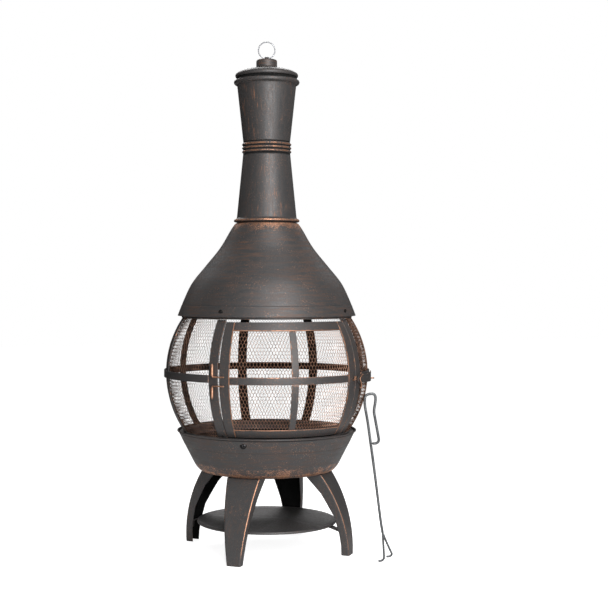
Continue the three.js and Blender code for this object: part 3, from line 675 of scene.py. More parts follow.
def chimney():
    foot = cad_box_mm("lower_chimney")[0].z
    # Negative wear is painted shade at the foot and in the roots between the beads.
    corners = [
        (69.6, foot + 0.3, -0.8, 0.5, 1.5), (73.6, foot + 1.2, 0.5, 1.6, 0.8),
        (74.5, foot + 4.2, 0.78, 1.8, 0.9), (72.3, foot + 6.8, 0.5, 1.8, 0.7),
        (67.7, foot + 9.4, -0.45, 1.6, 0.9), (66.9, foot + 16, 0.28, 2, 8),
    ]
    for bead in range(3):
        middle = WAIST_LOW + BEAD_PITCH * (bead + 0.5)
        corners += [
            (WAIST_RADIUS - 0.4, middle - BEAD_PITCH * 0.5, -0.85, 0.9, 0.9),
            (WAIST_RADIUS, middle - BEAD_PITCH * 0.30, 0, 1.2),
            (WAIST_RADIUS + 2.2, middle - 0.9, 0.72, 1.6, 0.6),
            (WAIST_RADIUS + 2.2, middle + 0.9, 0.72, 1.6, 0.6),
            (WAIST_RADIUS, middle + BEAD_PITCH * 0.30, 0, 1.2),
        ]
    corners.append((WAIST_RADIUS - 0.4, WAIST_TOP, -0.85, 0.4, 0.9))
    shell("lower_chimney_shell", "lower_chimney", corners, PIPE_SHEET, chimney_paint)

    top = cad_box_mm("upper_chimney")[1].z
    bead = 1050
    # Negative wear is painted shade at the waist's root, below the bead and on the neck in the shade under
    # the lid.
    corners = [
        (WAIST_RADIUS - 2.4, WAIST_LOW + 3, 0, 0.5),
        (WAIST_RADIUS - 2.4, WAIST_TOP + 0.6, -0.8, 0.8, 1.2),
        (WAIST_RADIUS - 0.6, WAIST_TOP + 2.4, 0, 1.2), (65.9, bead - 14, 0.30, 3, 9),
        (66.8, bead - 7.0, -0.30, 2, 1.2), (68.6, bead - 5.4, 0.50, 1.2, 0.7),
        (72.6, bead - 4.4, 0.32, 2.4, 1.2), (74.6, bead, 0, 3.4), (72.6, bead + 4.2, 0, 2.4),
        (68.4, bead + 5.4, -1, 1.4, 1.2), (68.0, top, -1, 0.4, 3),
    ]
    shell("upper_chimney_shell", "upper_chimney", corners, PIPE_SHEET, chimney_paint)


# ---- lid, knob, strap and ring ----
def lid_and_ring():
    low, high = cad_box_mm("lid")
    rim, base, apex = 70.9, 1060.4, high.z
    # Negative wear is painted shade where the knob stands, in the groove under the rim and inside the lid's
    # skirt.
    corners = [
        (0.01, apex, 0, 0), (23.6, apex - 2.2, -0.3, 4, 2), (57.4, apex - 9.9, 0, 6),
        (66.9, apex - 14.4, 0.15, 3, 2), (rim, base + 7.4, 0.1, 3.2), (rim, base + 2.2, 0.25, 2.2, 1),
        (rim - 3.2, base, -0.8, 1.2, 1), (66.2, base + 0.6, -1, 0.8, 3), (65.4, base + 6, -1, 1.5, 3),
        (63.8, base + 7, 0, 0.8), (63.8, low.z, 0, 0.5), (62.4, low.z, 0, 0.5),
        (62.2, base + 9.6, 0, 1.5), (56.4, apex - 12, 0, 3), (0.01, apex - 2.4, 0, 0),
    ]
    settle(turned("lid_shell", corners, lid_paint, step=5, fade=2), "lid", "charcoal_paint", "lid")

    low, high = cad_box_mm("lid_knob")
    radius, top = 23.6, high.z
    # Negative wear is painted shade where the knob meets the lid.
    corners = [
        (0.01, low.z + 2.2, 0, 0), (radius - 0.5, low.z + 0.1, 0, 0.3),
        (radius, low.z + 0.9, -0.3, 0.5, 1), (radius, top - 2.6, 0.32, 2.4, 5),
        (radius - 2.6, top, 0.2, 2.2, 2), (0.01, top, 0, 0),
    ]
    knob = turned("lid_knob_turned", corners, knob_paint, step=3, fade=2.5, segments=96)
    settle(knob, "lid", "charcoal_paint", "lid_knob")

    swing, upward = joint("ring_swing"), Vector((0, 0, 1))
    middle = Vector(swing["pos_m"]) / MM
    along = Vector(swing["axis"])
    side = upward.cross(along)
    low, high = cad_box_mm("lid_strap")
    inner, outer, foot, width, base = 2.5, 3.9, 7, 9.5, low.z + 1.4

    def arch(reach, radius):
        turns = [math.pi * k / 12 for k in range(13)]
        return [(reach * math.cos(t), middle.z + radius * math.sin(t)) for t in turns]

    profile = [(-foot, low.z), (-inner, low.z), *arch(-inner, inner), (inner, low.z), (foot, low.z),
               (foot, base), (outer, base), *arch(outer, outer), (-outer, base), (-foot, base)]
    verts = [Vector((middle.x, middle.y, 0)) + along * across + side * out + upward * height
             for across in (-width / 2, width / 2) for out, height in profile]
    faces = quads(2, len(profile)) + end_caps(len(verts), len(profile))
    strap = piece_from("lid_strap_bridge", verts, faces, [0.3] * len(verts), black_metal)
    bevel = strap.modifiers.new("edges", "BEVEL")
    bevel.width = 0.25 * MM
    bevel.segments = 2
    bevel.limit_method = "ANGLE"
    settle(strap, "lid", "black_fastener", "lid_strap")

    radius, wire = 18.7, 1.25
    centre = middle + upward * radius
    loop = [centre + (along * math.sin(t) - upward * math.cos(t)) * radius
            for t in (2 * math.pi * k / 96 for k in range(96))]
    ring = tube("lid_wire_ring", loop, wire, chrome_metal, cyclic=True)
    place(ring, "lid_ring", "chromed_wire", "ring_handle")


# ---- posts, belt and door frame ----
def elevation(height):
    return math.asin((height - SCREEN_CENTRE) / SCREEN_RADIUS)


def wall_point(radius, angle, rise):
    """A point of the ball-shaped wall, at an angle round it and a rise above its middle."""
    return polar(radius * math.cos(rise), angle, SCREEN_CENTRE + radius * math.sin(rise))


def on_post(angle, taper=False):
    """Places a bar that runs up the round wall at one angle."""
    way = across_way(angle)

    def at(rise, across, outward):
        point = wall_point(BAR_MIDDLE + outward, angle, rise)
        return point + way * across * (math.cos(rise) if taper else 1)

    return at


def round_wall(height):
    """Places a bar that runs round the wall at one height."""
    rise = elevation(height)

    def at(angle, across, outward):
        return wall_point(BAR_MIDDLE + outward, angle, rise + across / BAR_MIDDLE)

    return at


def flat_bar(name, node, body, width, wear, run, at, **ends):
    section = bar_section(width, BAR_THICKNESS, wear, fade=0.9)
    place(sweep(name, section, run, at, bar_paint, **ends), body, "charcoal_paint", node)


def posts_and_belt():
    low, high = elevation(SCREEN_LOW + 0.4), elevation(SCREEN_HIGH - 0.4)
    for k, angle in enumerate(POST_ANGLES, 1):
        flat_bar(f"post_{k}_bar", f"post_{k}", BODY, POST_WIDTH, (0.50, 0.50), stops(low, high, 40),
                 on_post(angle), inner=dark_painted_shade)

    end = 45 + math.degrees(POST_WIDTH / 2 / SCREEN_RADIUS) - 0.4

    def on_belt(angle, across, outward):
        return polar(BELT_INNER + BELT_THICKNESS / 2 + outward, angle, BELT_CENTRE + across)

    section = bar_section(BELT_HEIGHT, BELT_THICKNESS, (0.3, 0.3))
    belt = sweep("belt_band", section, stops(end, 360 - end, 150), on_belt, belt_paint,
                 end_wear=(0.7, 0.7), inner=dark_painted_shade)
    place(belt, BODY, "charcoal_paint", "belt")


DOOR_LOW, DOOR_HIGH = (corner.z for corner in cad_box_mm("door_latch_stile"))
RAIL_LOW_TOP = cad_box_mm("door_bottom_rail")[1].z
RAIL_HIGH_BOTTOM = cad_box_mm("door_top_rail")[0].z


def door_frame():
    low, high = elevation(DOOR_LOW + 0.3), elevation(DOOR_HIGH - 0.3)
    for side, name in ((-1, "door_hinge_stile"), (1, "door_latch_stile")):
        width = math.radians(STILE_ANGLE) * SCREEN_RADIUS - 0.5
        wear = (0.45, 0.8) if side < 0 else (0.72, 0.55)
        angle = side * (DOOR_HALF_ANGLE - STILE_ANGLE / 2 - 0.06)
        flat_bar(f"{name}_bar", name, "door", width, wear, stops(low, high, 40), on_post(angle, True))

    reach = DOOR_INSIDE - 0.1
    middle_low, middle_high = (corner.z for corner in cad_box_mm("door_middle_rail"))
    rails = (
        ("door_top_rail", RAIL_HIGH_BOTTOM, DOOR_HIGH, (0.82, 0.35)),
        ("door_middle_rail", middle_low, middle_high, (0.58, 0.66)),
        ("door_bottom_rail", DOOR_LOW, RAIL_LOW_TOP, (0.3, 0.72)),
    )
    for name, bottom, top, wear in rails:
        width = (elevation(top) - elevation(bottom)) * BAR_MIDDLE - 0.6
        middle = SCREEN_CENTRE + SCREEN_RADIUS * math.sin((elevation(top) + elevation(bottom)) / 2)
        flat_bar(f"{name}_bar", name, "door", width, wear, stops(-reach, reach, 48), round_wall(middle),
                 end_wear=(0.5, 0.3), end_fade=5)

    width = 2 * math.radians(DOOR_BAR_HALF_ANGLE) * SCREEN_RADIUS
    for name, bottom, top in (
        ("door_upper_bar", middle_high, RAIL_HIGH_BOTTOM), ("door_lower_bar", RAIL_LOW_TOP, middle_low),
    ):
        run = stops(elevation(bottom + 0.3), elevation(top - 0.3), 20)
        flat_bar(f"{name}_upright", name, "door", width, (0.55, 0.50), run, on_post(0, True),
                 end_wear=(0.5, 0.55), end_fade=7)


# ---- expanded metal ----
CELL_WIDTH = 7.4
CELL_HEIGHT = 15.8
BOND = 3.2
STRAND = 0.64
DOOR_STRAND = 0.72
STRAND_DEPTH = 1.3
BULGE = 3.4


def wall_radius(node, angle, rise):
    """The wire screens swell out between the posts; the door's lies flat behind its frame."""
    if node == "door_mesh":
        return MESH_RADIUS
    return MESH_RADIUS + BULGE * abs(math.sin(math.radians(4 * angle))) ** 0.6 * math.cos(rise) ** 2


def mesh_panel(name, left, right, low, high, body, node):
    """Real strands: a sheet of long six-sided cells bent to the wall and made into wire."""
    columns = round(math.radians(right - left) * MESH_RADIUS / CELL_WIDTH)
    wide = (right - left) / columns
    tall = math.degrees(CELL_HEIGHT / 2 / MESH_RADIUS)
    bond = math.degrees(BOND / 2 / MESH_RADIUS)
    bottom, top = (math.degrees(math.asin((z - SCREEN_CENTRE) / MESH_RADIUS)) for z in (low, high))
    rows = math.ceil((top - bottom) / tall) + 1
    tip = tall - bond
    cells = bmesh.new()
    for row in range(rows + 1):
        for column in range(-1, columns + 1):
            x = left + wide * (column + 0.5 + 0.5 * (row % 2))
            y = bottom + tall * row
            ring = [(x, y + tip), (x + wide / 2, y + bond), (x + wide / 2, y - bond),
                    (x, y - tip), (x - wide / 2, y - bond), (x - wide / 2, y + bond)]
            cells.faces.new([cells.verts.new((*corner, 0)) for corner in ring])
    bmesh.ops.remove_doubles(cells, verts=cells.verts, dist=0.02)
    for point, normal in (((left, 0, 0), (-1, 0, 0)), ((right, 0, 0), (1, 0, 0)),
                          ((0, bottom, 0), (0, -1, 0)), ((0, top, 0), (0, 1, 0))):
        geometry = cells.verts[:] + cells.edges[:] + cells.faces[:]
        bmesh.ops.bisect_plane(cells, geom=geometry, dist=0.001, plane_co=point, plane_no=normal,
                               clear_outer=True)
    bmesh.ops.remove_doubles(cells, verts=cells.verts, dist=0.06)
    for vert in cells.verts:
        angle, rise = vert.co.x, math.radians(vert.co.y)
        vert.co = wall_point(wall_radius(node, angle, rise), angle, rise) * MM
    lattice = bpy.data.meshes.new(name)
    cells.to_mesh(lattice)
    cells.free()
    panel = add_object(name, lattice)
    wire = panel.modifiers.new("strands", "WIREFRAME")
    wire.thickness = (DOOR_STRAND if node == "door_mesh" else STRAND) * MM
    wire.offset = 0
    wire.use_boundary = True
    mesh = evaluated_mesh(panel)
    panel.modifiers.clear()
    panel.data = mesh
    bpy.data.meshes.remove(lattice)
    mesh.materials.clear()
    # The door's brighter strand finish is painted light.
    mesh.materials.append(door_strand_painted_light if node == "door_mesh" else strand_paint)
    mesh.materials.append(strand_inside_painted_shade)
    middle = Vector((0, 0, SCREEN_CENTRE * MM))
    for vert in mesh.vertices:
        out = vert.co - middle
        flat = math.degrees(math.atan2(out.x, -out.y))
        wall = wall_radius(node, flat, math.asin(out.z / out.length)) * MM
        vert.co = middle + out.normalized() * lerp(wall, out.length, STRAND_DEPTH)
    # Strand faces turned inwards take the painted shade.
    for face in mesh.polygons:
        face.material_index = 1 if faces_inwards(face) else 0
    place(panel, body, "expanded_mesh", node)


def mesh_panels():
    low, high = SCREEN_LOW + 0.6, SCREEN_HIGH - 0.6
    lap = 3.0
    spans = (("right", 45 - lap, 134.7), ("rear", 135.3, 224.7), ("left", 225.3, 315 + lap))
    for side, start, end in spans:
        mesh_panel(f"expanded_metal_{side}", start, end, low, high, BODY, f"screen_mesh_{side}")
    reach = DOOR_HALF_ANGLE - 2
    mesh_panel("expanded_metal_door", -reach, reach, DOOR_LOW + 6, DOOR_HIGH - 6, "door", "door_mesh")


# ---- hinges and latch ----
def hinges():
    axis = Vector(joint("door_hinge")["pos_m"]) / MM
    centre = Vector((axis.x, axis.y, 0))
    stile_angle = -DOOR_INSIDE - STILE_ANGLE * 0.45
    for name, side in (("upper", 1), ("lower", -1)):
        low, high = cad_box_mm(f"hinge_tube_{name}")
        bore, outer = 1.95, 2.9
        corners = [(bore, low.z, 0.4, 0.2), (outer, low.z, 1, 0.4), (outer, high.z, 1, 0.4),
                   (bore, high.z, 0.4, 0.2)]
        tube_piece = spin(f"hinge_tube_{name}_rolled", band(corners, 3, 2),
                          copper_metal, None, 32, shape=lambda point: point + centre)
        settle(tube_piece, BODY, "copper_paint", f"hinge_tube_{name}")

        low, high = cad_box_mm(f"hinge_pin_{name}")
        radius = 1.6
        arm = low.z + radius if side > 0 else high.z - radius
        tip = high.z if side > 0 else low.z
        path = bent_path([centre + Vector((0, 0, tip)), centre + Vector((0, 0, arm)),
                          polar(SCREEN_RADIUS + radius + 0.2, stile_angle, arm)], 3)
        fine = []
        for a, b in zip(path, path[1:]):
            cuts = max(1, round((b - a).length / 2.5))
            fine += [a.lerp(b, cut / cuts) for cut in range(cuts)]
        pin = tube(f"hinge_pin_{name}_rod", fine + [path[-1]], radius, copper_metal)
        place(pin, "door", "copper_paint", f"hinge_pin_{name}")


LATCH_PIVOT_ANGLE = 68.7
LATCH_TIP_ANGLE = 42.3
LATCH_MIDDLE = BELT_CENTRE - 6
LATCH_RADIUS = BELT_INNER + BELT_THICKNESS + 2.8


def latch():
    pivot = Vector(joint("latch_pivot")["pos_m"]) / MM
    heel = LATCH_PIVOT_ANGLE + 2.4

    def on_latch(share, across, outward):
        angle = lerp(LATCH_TIP_ANGLE - 0.6, heel, share)
        tip = math.sqrt(max(0.05, 1 - max(0, (0.10 - share) / 0.11) ** 2))
        return polar(LATCH_RADIUS + outward, angle, LATCH_MIDDLE + across * lerp(0.70, 1.0, share) * tip)

    section = bar_section(22.6, 1.9, (0.35, 0.6), bevel=0.5, fade=0.9)
    bar = sweep("latch_bar_blade", section, stops(0, 1, 36), on_latch, bar_paint, bevel=0.5,
                end_wear=(0.7, 0.3))
    place(bar, "latch", "charcoal_paint", "latch_bar")

    start = polar(BELT_INNER + BELT_THICKNESS + 0.3, LATCH_PIVOT_ANGLE, pivot.z)
    end = polar(242.4, LATCH_PIVOT_ANGLE, pivot.z)
    run = [start.lerp(end, k / 6) for k in range(7)]
    pin = tube("latch_pin_rod", run, 1.6, copper_metal)
    place(pin, BODY, "copper_paint", "latch_pin")

    wire = 1.3
    face = LATCH_RADIUS + 1 + 0.3 + wire
    line = [(0, 46.8, 4), (1.5, 44.6, 2), (2, 42.4, -5), (2, 43.2, -12), (2.5, 43.8, -18), (3.5, 42.2, -25)]
    path = smooth_path([polar(face + out, angle, BELT_CENTRE + rise) for out, angle, rise in line], 6)
    pull = tube("latch_pull_wire", path, wire, copper_metal)
    place(pull, "latch", "copper_paint", "latch_pull")

    back, front = SCREEN_RADIUS + 0.3, SCREEN_RADIUS + 7.5
    base, rise, thick = BELT_CENTRE - 8, 10, 2.4
    angle = LATCH_TIP_ANGLE - 3
    level, reach = base + thick / 2, front - thick / 2
    hook = bent_path([polar(back, angle, level), polar(reach, angle, level),
                      polar(reach, angle, base + rise - 0.2)], 2.4)
    way = across_way(angle)
    verts = []
    section = bar_section(6, thick, bevel=0.5, step=2)
    for k, point in enumerate(hook):
        before, after = hook[max(k - 1, 0)], hook[min(k + 1, len(hook) - 1)]
        along = (after - before).normalized()
        normal = way.cross(along)
        for across, outward, _ in section:
            verts.append(point + way * across + normal * outward)
    faces = quads(len(hook), len(section)) + end_caps(len(verts), len(section))
    catch = piece_from("latch_catch_hook", verts, faces, [1] * len(verts), copper_metal)
    settle(catch, "door", "copper_paint", "latch_catch")


# ---- bolts ----
def standing(spot, out):
    """Turns +Z to the outward direction and moves the origin to the spot."""
    return Matrix.Translation(spot * MM) @ out.to_track_quat("Z", "Y").to_matrix().to_4x4()


def bolts(prefix, count, head):
    """Pan-head bolts with a cross recess, standing where the CAD bolts stand."""
    for k in range(1, count + 1):
        node = f"{prefix}_{k}"
        verts = [v.co.copy() for v in frame["nodes"][node].data.vertices]
        outermost = max(verts, key=lambda v: Vector((v.x, v.y)).length) / MM
        ends = sorted(verts, key=lambda v: (v / MM - outermost).length)
        tail = sum(ends[-4:], Vector()) / 4 / MM
        out = (outermost - tail).normalized()
        length = (outermost - tail).length
        stand = standing(outermost, out)
        dome, edge = head * 0.45, head * 0.98
        shank, nut, nut_top = 2.2, 4, -length + 3
        corners = [
            (0.01, 0, 0, 0), (head * 0.55, -0.12 * head, 0, head * 0.3),
            (edge, -dome + 0.5, 0.6, head * 0.12), (edge, -dome, 0.3, 0.2), (shank, -dome, 0, 0.1),
            (shank, nut_top, 0, 0.1), (nut, nut_top, 0, 0.3), (nut, -length, 0, 0.3),
            (0.01, -length, 0, 0),
        ]
        bolt = turned(f"{node}_pan_head", corners, black_metal, step=2, fade=1, segments=40)
        for turn in (0, 90):
            cutter = bmesh.new()
            bmesh.ops.create_cube(cutter, size=1)
            size = Matrix.Diagonal((head * 1.1 * MM, head * 0.24 * MM, head * 0.5 * MM, 1))
            cutter.transform(Matrix.Rotation(math.radians(turn + 20 * k), 4, "Z") @ size)
            mesh = bpy.data.meshes.new("recess")
            cutter.to_mesh(mesh)
            cutter.free()
            tool = add_object("recess", mesh)
            recess = bolt.modifiers.new("recess", "BOOLEAN")
            recess.object = tool
            recess.operation = "DIFFERENCE"
            bpy.context.view_layer.update()
            cut_mesh = evaluated_mesh(bolt)
            bolt.modifiers.clear()
            bolt.data = cut_mesh
            bpy.data.objects.remove(tool)
        bolt.data.transform(stand)
        settle(bolt, BODY, "black_fastener", node)
        # Painted shadow: a flat black ring round each head, where it sits on the sheet.
        bore, edge, low, high = head * 0.9, head * 1.3, -dome - 0.2, -dome + 0.5
        rim = [(bore, low, 0, 0.1), (edge, low, 0, 0.1), (edge, high, 0, 0.2), (bore, high, 0, 0.1)]
        painted_shadow_ring = spin(f"{node}_washer", rounded(rim, closed=True), dark_painted_shade, None, 32)
        painted_shadow_ring.data.transform(stand)
        settle(painted_shadow_ring, BODY, "black_fastener")


def wall_dot(name, angle, height, radius, material, slot):
    """A low round dot that stands on the outer face of a door post: a weld or a screw head."""
    rise = math.asin((height - SCREEN_CENTRE) / SCREEN_RADIUS)
    out = polar(math.cos(rise), angle, math.sin(rise))
    spot = polar(SCREEN_RADIUS * math.cos(rise), angle, height)
    outline = [(0.01, 0.55 * radius, 1, 0), (0.55 * radius, 0.46 * radius, 1, 0.2 * radius),
               (0.95 * radius, 0.15 * radius, 0.8, 0.2 * radius), (radius, -0.5, 0.4, 0.1),
               (0.01, -0.5, 0.4, 0)]
    dot = spin(name, rounded(outline), material, None, 20, closed=False)
    dot.data.transform(standing(spot, out))
    settle(dot, BODY, slot)


WELD_HEIGHT = 521.4
SCREW_HEIGHT = 272.2


def fasteners():
    bolts("hood_bolt", 4, head=4)
    bolts("bowl_bolt", 3, head=5.6)
    for side, name in ((-1, "left"), (1, "right")):
        for k, shift in enumerate((-0.9, 1.6)):
            wall_dot(f"post_weld_{name}_{k + 1}", 45 * side + shift, WELD_HEIGHT, 1.5, copper_metal,
                     "copper_paint")
        wall_dot(f"post_screw_{name}", 44.6 * side, SCREW_HEIGHT, 2.6, black_metal, "black_fastener")


# ---- legs, brackets and shelf ----
LEG_ANGLES = [-36.1, 53.3, 145, 229.5]
LEG_ARC_RADIUS = 302
LEG_FOOT_RADIUS = 199.5
LEG_WIDTHS = (31, 75.6)
LEG_FACE_TOP = 177
LEG_SHEET = 2
LEG_TOP = cad_box_mm("leg_1")[1].z
LEG_EDGE = [(104, LEG_TOP), (140, 136), (154, 112), (170, 83), (179, 46), (182, 22), (182, 0)]


def leg_face(height, inset=0):
    return LEG_FOOT_RADIUS - LEG_ARC_RADIUS + math.sqrt((LEG_ARC_RADIUS - inset) ** 2 - height ** 2)


def leg_edge(height):
    """How far from the axis the free edge of a leg's side is."""
    for (r1, z1), (r2, z2) in zip(LEG_EDGE, LEG_EDGE[1:]):
        if z2 <= height <= z1:
            return lerp(r2, r1, (height - z2) / (z1 - z2))
    return LEG_EDGE[0][0]


def leg_outline(height, edge_wear):
    """A leg's folded sheet cut at one height, as (across, reach, wear)."""
    fold, bend, tuck = 3, 4, 1.2
    half = lerp(*LEG_WIDTHS, height / LEG_TOP) / 2
    face = leg_face(height) - tuck * max(0, height - LEG_FACE_TOP)
    edge = leg_edge(height)
    depth = max(face - edge, fold + 1)
    bare = lerp(0.46, 0.92, min(height / 90, 1))
    outer = [(half, lerp(edge, face - fold, share), 0.45 * math.exp(-share * depth / 1.5))
             for share in (0, 0.05, 0.3, 0.6, 0.95)]
    for step in range(bend + 1):
        t = math.pi / 2 * step / bend
        crest = bare if step in (2, 3) else 0.3 * bare
        outer.append((half - fold + fold * math.cos(t), face - fold + fold * math.sin(t), crest))
    outer += [(half - fold - 0.8, face, 0.05), (half * 0.4, face, 0)]
    outer += [(-x, r, w * edge_wear) for x, r, w in reversed(outer)]
    return thickened(outer, LEG_SHEET)


def legs():
    heights = set(stops(0, LEG_FACE_TOP, 44) + [LEG_TOP - 2, LEG_TOP])
    heights = sorted(heights | {z for _, z in LEG_EDGE if 0 < z < LEG_TOP})
    for number, angle in enumerate(LEG_ANGLES, 1):
        turn = Matrix.Rotation(math.radians(angle), 4, "Z")
        verts, wear = [], []
        for height in heights:
            ring = leg_outline(height, 0.6 if number == 1 else 1)
            for x, r, w in ring:
                verts.append(turn @ Vector((x, -r, height)))
                # Painted shade: above the face top, the tucked sheet is painted black as the shade under
                # the bowl.
                wear.append(-1 if height > LEG_FACE_TOP else w)
        count = len(ring)
        faces = quads(len(heights), count)
        half_count = count // 2
        for base in (0, (len(heights) - 1) * count):
            for k in range(half_count - 1):
                faces.append((base + k, base + k + 1, base + count - 2 - k, base + count - 1 - k))
        plate = len(verts)
        top_face, top_edge = leg_face(LEG_TOP) - 9, leg_edge(LEG_TOP)
        top_half = LEG_WIDTHS[1] / 2 - 1
        plan = ((-top_half, top_edge), (top_half, top_edge), (top_half, top_face), (-top_half, top_face))
        for height in (LEG_TOP - LEG_SHEET, LEG_TOP):
            for x, r in plan:
                verts.append(turn @ Vector((x, -r, height)))
                # Painted shade on the top plate, under the bowl.
                wear.append(-0.9)
        flat = [(3, 2, 1, 0), (4, 5, 6, 7)]
        walls = [(k, (k + 1) % 4, 4 + (k + 1) % 4, 4 + k) for k in range(4)]
        faces += [tuple(plate + k for k in corners) for corners in flat + walls]
        leg = piece_from(f"leg_{number}_channel", verts, faces, wear, leg_paint)
        leg.data.materials.append(leg_inside_painted_shade)
        back = turn.inverted()
        skin = LEG_SHEET * 0.6
        # Faces inside the channel take the painted shade.
        for face in leg.data.polygons:
            spot = back @ face.center / MM
            level = min(max(spot.z, 0), LEG_TOP)
            inside = abs(spot.x) < lerp(*LEG_WIDTHS, level / LEG_TOP) / 2 - skin
            if inside and level < LEG_FACE_TOP and -spot.y < leg_face(level) - skin:
                face.material_index = 1
        settle(leg, BODY, "charcoal_paint", f"leg_{number}")


def brackets():
    strip, width, gap, low, high = 2.2, 22, 1.2, 30, 46
    top = cad_box_mm("shelf_bracket_1")[1].z
    edge = cad_box_mm("shelf")[1].x
    for number, angle in enumerate(LEG_ANGLES, 1):
        on_leg = [(leg_face(height, LEG_SHEET) - gap - strip / 2, height) for height in (high, low)]
        line = [(edge - 28, top - strip / 2), (edge - 8, top - strip / 2), *on_leg]
        path = bent_path([Vector((*corner, 0)) for corner in line], 4, 4)

        def on_strip(stop, across, outward, path=path, angle=angle):
            index = min(int(stop), len(path) - 2)
            point = path[index].lerp(path[index + 1], stop - index)
            along = (path[index + 1] - path[index]).normalized()
            normal = Vector((-along.y, along.x, 0))
            spot = point + normal * outward
            return polar(spot.x, angle, spot.y) + across_way(angle) * across

        section = bar_section(width, strip, (0.45, 0.45), bevel=0.4)
        last = len(path) - 1
        bracket = sweep(f"shelf_bracket_{number}_strip", section, stops(0, last, 3 * last),
                        on_strip, leg_paint, bevel=0.4, end_wear=(0.6, 0.6))
        place(bracket, BODY, "charcoal_paint", f"shelf_bracket_{number}")


def shelf():
    low, high = cad_box_mm("shelf")
    edge = high.x
    floor = high.z - 3
    corners = [
        (0.01, floor, 0, 0), (edge - 13, floor, 0, 4), (edge - 5, high.z - 0.5, 0, 3),
        (edge - 1.5, high.z, 0.25, 1.6), (edge, high.z - 1.8, 0.35, 1.6), (edge, low.z + 0.4, 0.3, 0.8),
        (edge - 1.8, low.z + 0.4, 0, 0.5), (edge - 2.2, high.z - 3.4, 0, 1),
        (edge - 5, high.z - 2.6, 0, 1.5), (edge - 13, floor - 1.8, 0, 4), (0.01, floor - 1.8, 0, 0),
    ]

    meeting = Vector((43, 21))
    flat, depth, reach, fade = edge - 14, 1.1, 9, 12
    creases = [polar(flat, angle, 0).to_2d() for angle in (-28, 45, 145, 229)]

    def creased(point):
        """The floor is pressed in four straight lines that meet a little off its centre."""
        spot = Vector(point[:2])
        if spot.length > flat:
            return point
        dip = 0
        for end in creases:
            along = end - meeting
            share = max(0, min(1, (spot - meeting).dot(along) / along.length_squared))
            away = (spot - meeting - along * share).length
            dip = max(dip, math.exp(-(away / reach) ** 2))
        return point - Vector((0, 0, depth * dip * min(1, (flat - spot.length) / fade)))

    dish = turned("wood_shelf_dish", corners, shelf_paint, step=5, fade=1.5, segments=240, shape=creased)
    settle(dish, BODY, "charcoal_paint", "shelf")


# ---- grate ----
def fire_grate():
    low, high = cad_box_mm("fire_grate")
    radius, bar, top = high.x, 6, high.z
    section = bar_section(bar, bar, bevel=1.4, step=2)
    middle = radius - bar / 2
    pieces = []

    corners = [(middle + outward, top - bar / 2 + across, 0) for across, outward, _ in section]
    pieces.append(spin("grate_rim", corners, cast_iron, None, 120))
    for x in (-80, -48, -16, 16, 48, 80):
        half = math.sqrt(middle ** 2 - x ** 2)

        def on_bar(y, across, outward, x=x):
            return Vector((x + across, y, top - bar / 2 + outward * 0.95))

        pieces.append(sweep("grate_bar", section, stops(-half, half, 12), on_bar, cast_iron, bevel=1))
    for angle in (45, 135, 225, 315):
        foot = polar(middle, angle, 0)

        def on_foot(z, across, outward, foot=foot, angle=angle):
            way, out = across_way(angle), polar(1, angle, 0)
            return Vector((foot.x, foot.y, z)) + way * across * 0.8 + out * outward * 0.8

        run = stops(low.z + 0.2, top - bar / 2, 8)
        pieces.append(sweep("grate_foot", section, run, on_foot, cast_iron, bevel=1))
    grate = joined("cast_fire_grate", pieces)
    grate.modifiers.clear()
    settle(grate, "grate", "sooty_iron", "fire_grate")


# ---- poker ----
POKER_TURN = -15.3
POKER_REACH = 145
POKER_LEAN = 0.0535
POKER_ROD = 2.8
POKER_TINE = 2.3


def poker():
    turn = Matrix.Rotation(math.radians(POKER_TURN), 3, "Z")

    def in_plane(points):
        return [turn @ Vector((side, POKER_LEAN * z - POKER_REACH, z)) for side, z in points]

    grip = smooth_path(in_plane([
        (226.5, 252.6), (231, 252.4), (236, 253), (240, 256.2), (241, 262), (239.2, 273.1),
        (236.6, 287.8), (233.7, 303.8), (231.3, 318.5), (232, 329.2), (233.9, 340), (234.5, 349.3),
        (233.2, 355.2), (229.4, 358.3), (224, 358.5), (216.5, 356.6), (212.7, 353.1), (211.3, 346.7),
        (211.8, 331.9), (217.6, 297.1), (223.5, 253), (228.2, 218.3), (236.4, 153), (244.2, 88.8),
        (248.9, 60),
    ]), 7)
    inner = smooth_path(in_plane([
        (248.6, 62), (248.9, 54.9), (249.9, 36.4), (251.1, 12.6), (249.7, 6.2), (245.1, 3.3), (238.5, 2.5),
    ]), 7)
    outer = smooth_path(in_plane([
        (248.9, 62), (251.3, 55.4), (258.7, 37.7), (266.6, 21), (267.7, 17.3), (266.1, 14.2),
        (262.6, 12.6), (255.9, 11.8),
    ]), 7)
    rods = [
        tube("poker_shaft", grip, POKER_ROD, rod_metal),
        tube("poker_inner_tine", inner, POKER_TINE, rod_metal),
        tube("poker_outer_tine", outer, POKER_TINE, rod_metal),
    ]
    place(joined("poker_rod", rods), "fire_poker", "grey_rod", "poker")


# ---- stage ----
PHOTO = 608
FOCAL = 1215
DISTANCE = 2.745
CAMERA_TURN = -15.3
HORIZON = 284
AXIS_X = 266.7
GROUND_Y = 547.5
FLOOR_REACH = 9000


def camera():
    data = bpy.data.cameras.new("camera")
    data.sensor_width = 36
    data.lens = 36 * FOCAL / PHOTO
    data.shift_x = (PHOTO / 2 - AXIS_X) / PHOTO
    data.shift_y = (HORIZON - PHOTO / 2) / PHOTO
    data.clip_start = 0.05
    view = add_object("camera", data)
    height = (GROUND_Y - HORIZON) / FOCAL * DISTANCE
    view.location = polar(DISTANCE, CAMERA_TURN, height)
    view.rotation_euler = (math.pi / 2, 0, math.radians(CAMERA_TURN))
    bpy.context.scene.camera = view


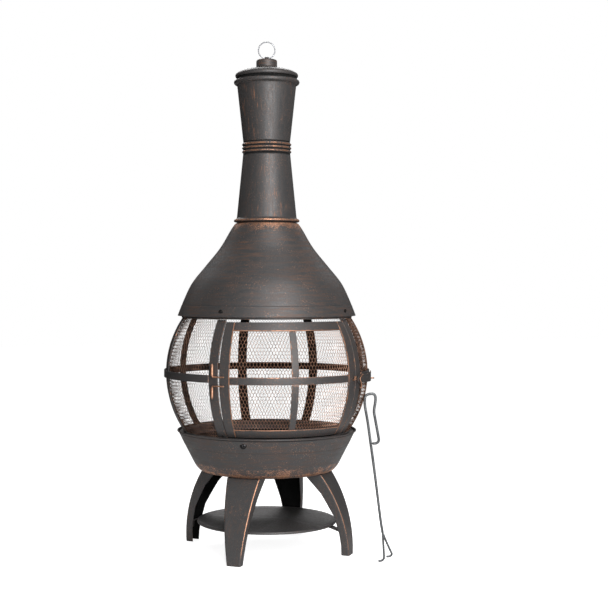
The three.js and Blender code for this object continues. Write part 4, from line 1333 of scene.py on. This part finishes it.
def area_light(name, angle, distance, height, aim, size, power):
    data = bpy.data.lights.new(name, "AREA")
    data.shape = "RECTANGLE"
    data.size, data.size_y = size
    data.energy = power
    light = add_object(name, data)
    light.location = polar(distance, angle, height)
    away = Vector((0, 0, aim)) - light.location
    light.rotation_euler = away.to_track_quat("-Z", "Y").to_euler()


def floor():
    """A white floor that lights the object from close by and is dim to it farther away."""
    corners = ((-1, -1), (1, -1), (1, 1), (-1, 1))
    verts = [Vector((x * FLOOR_REACH, y * FLOOR_REACH, -0.3)) for x, y in corners]
    n = Nodes("floor_white")
    length = n.add("VectorMath")
    length.operation = "LENGTH"
    n.feed(length.inputs[0], n.coords)
    away = length.outputs["Value"]
    mottle = n.mix(n.noise(3, 2), (0.80, 0.80, 0.80), (0.76, 0.76, 0.76))
    n.set("Base Color", n.mix(n.remap(away, 0.5, 1.5), mottle, (0.16, 0.16, 0.16)))
    n.set("Roughness", 0.9)
    n.set("Specular IOR Level", 0.1)
    seen = n.add("LightPath").outputs["Is Camera Ray"]
    glow = n.times(n.remap(away, 0.1, 1.0, 0.87, 1.0), seen)
    n.set("Emission Color", (1, 1, 1))
    n.set("Emission Strength", glow)
    piece_from("floor", verts, [(0, 1, 2, 3)], [0] * 4, n.material)


def world():
    scene = bpy.context.scene
    scene.world = bpy.data.worlds.new("studio")
    scene.world.use_nodes = True
    tree = scene.world.node_tree
    back = tree.nodes["Background"]
    seen = tree.nodes.new("ShaderNodeLightPath").outputs["Is Camera Ray"]
    strength = tree.nodes.new("ShaderNodeMapRange")
    strength.inputs["To Min"].default_value = 0.045
    strength.inputs["To Max"].default_value = 1.0
    tree.links.new(seen, strength.inputs["Value"])
    tree.links.new(strength.outputs["Result"], back.inputs["Strength"])
    back.inputs["Color"].default_value = (1, 1, 1, 1)
    scene.view_settings.view_transform = "Standard"
    scene.view_settings.look = "None"


LIGHTS = [  # name, angle, distance, height, height aimed at, size, power
    ("front_softbox", 1, 2.7, 1.15, 0.55, (1.5, 2.2), 93),
    ("high_softbox", 8, 1.7, 2.6, 0.5, (1.6, 1.2), 32),
    ("back_softbox", 172, 2.3, 2.5, 0.5, (2.0, 1.4), 44),
    ("left_side", -142, 2.6, 2.0, 0.5, (0.8, 1.2), 4),
    ("right_side", 124, 2.6, 2.0, 0.5, (0.8, 1.2), 4),
    ("low_back", 160, 2.2, 0.42, 0.1, (1.8, 0.4), 1.2),
]

for build in (fire_bowl, firebox_rings, hood, chimney, lid_and_ring, posts_and_belt, door_frame,
              mesh_panels, hinges, latch, fasteners, legs, brackets, shelf, fire_grate, poker,
              camera, floor, world):
    build()
for light in LIGHTS:
    area_light(*light)
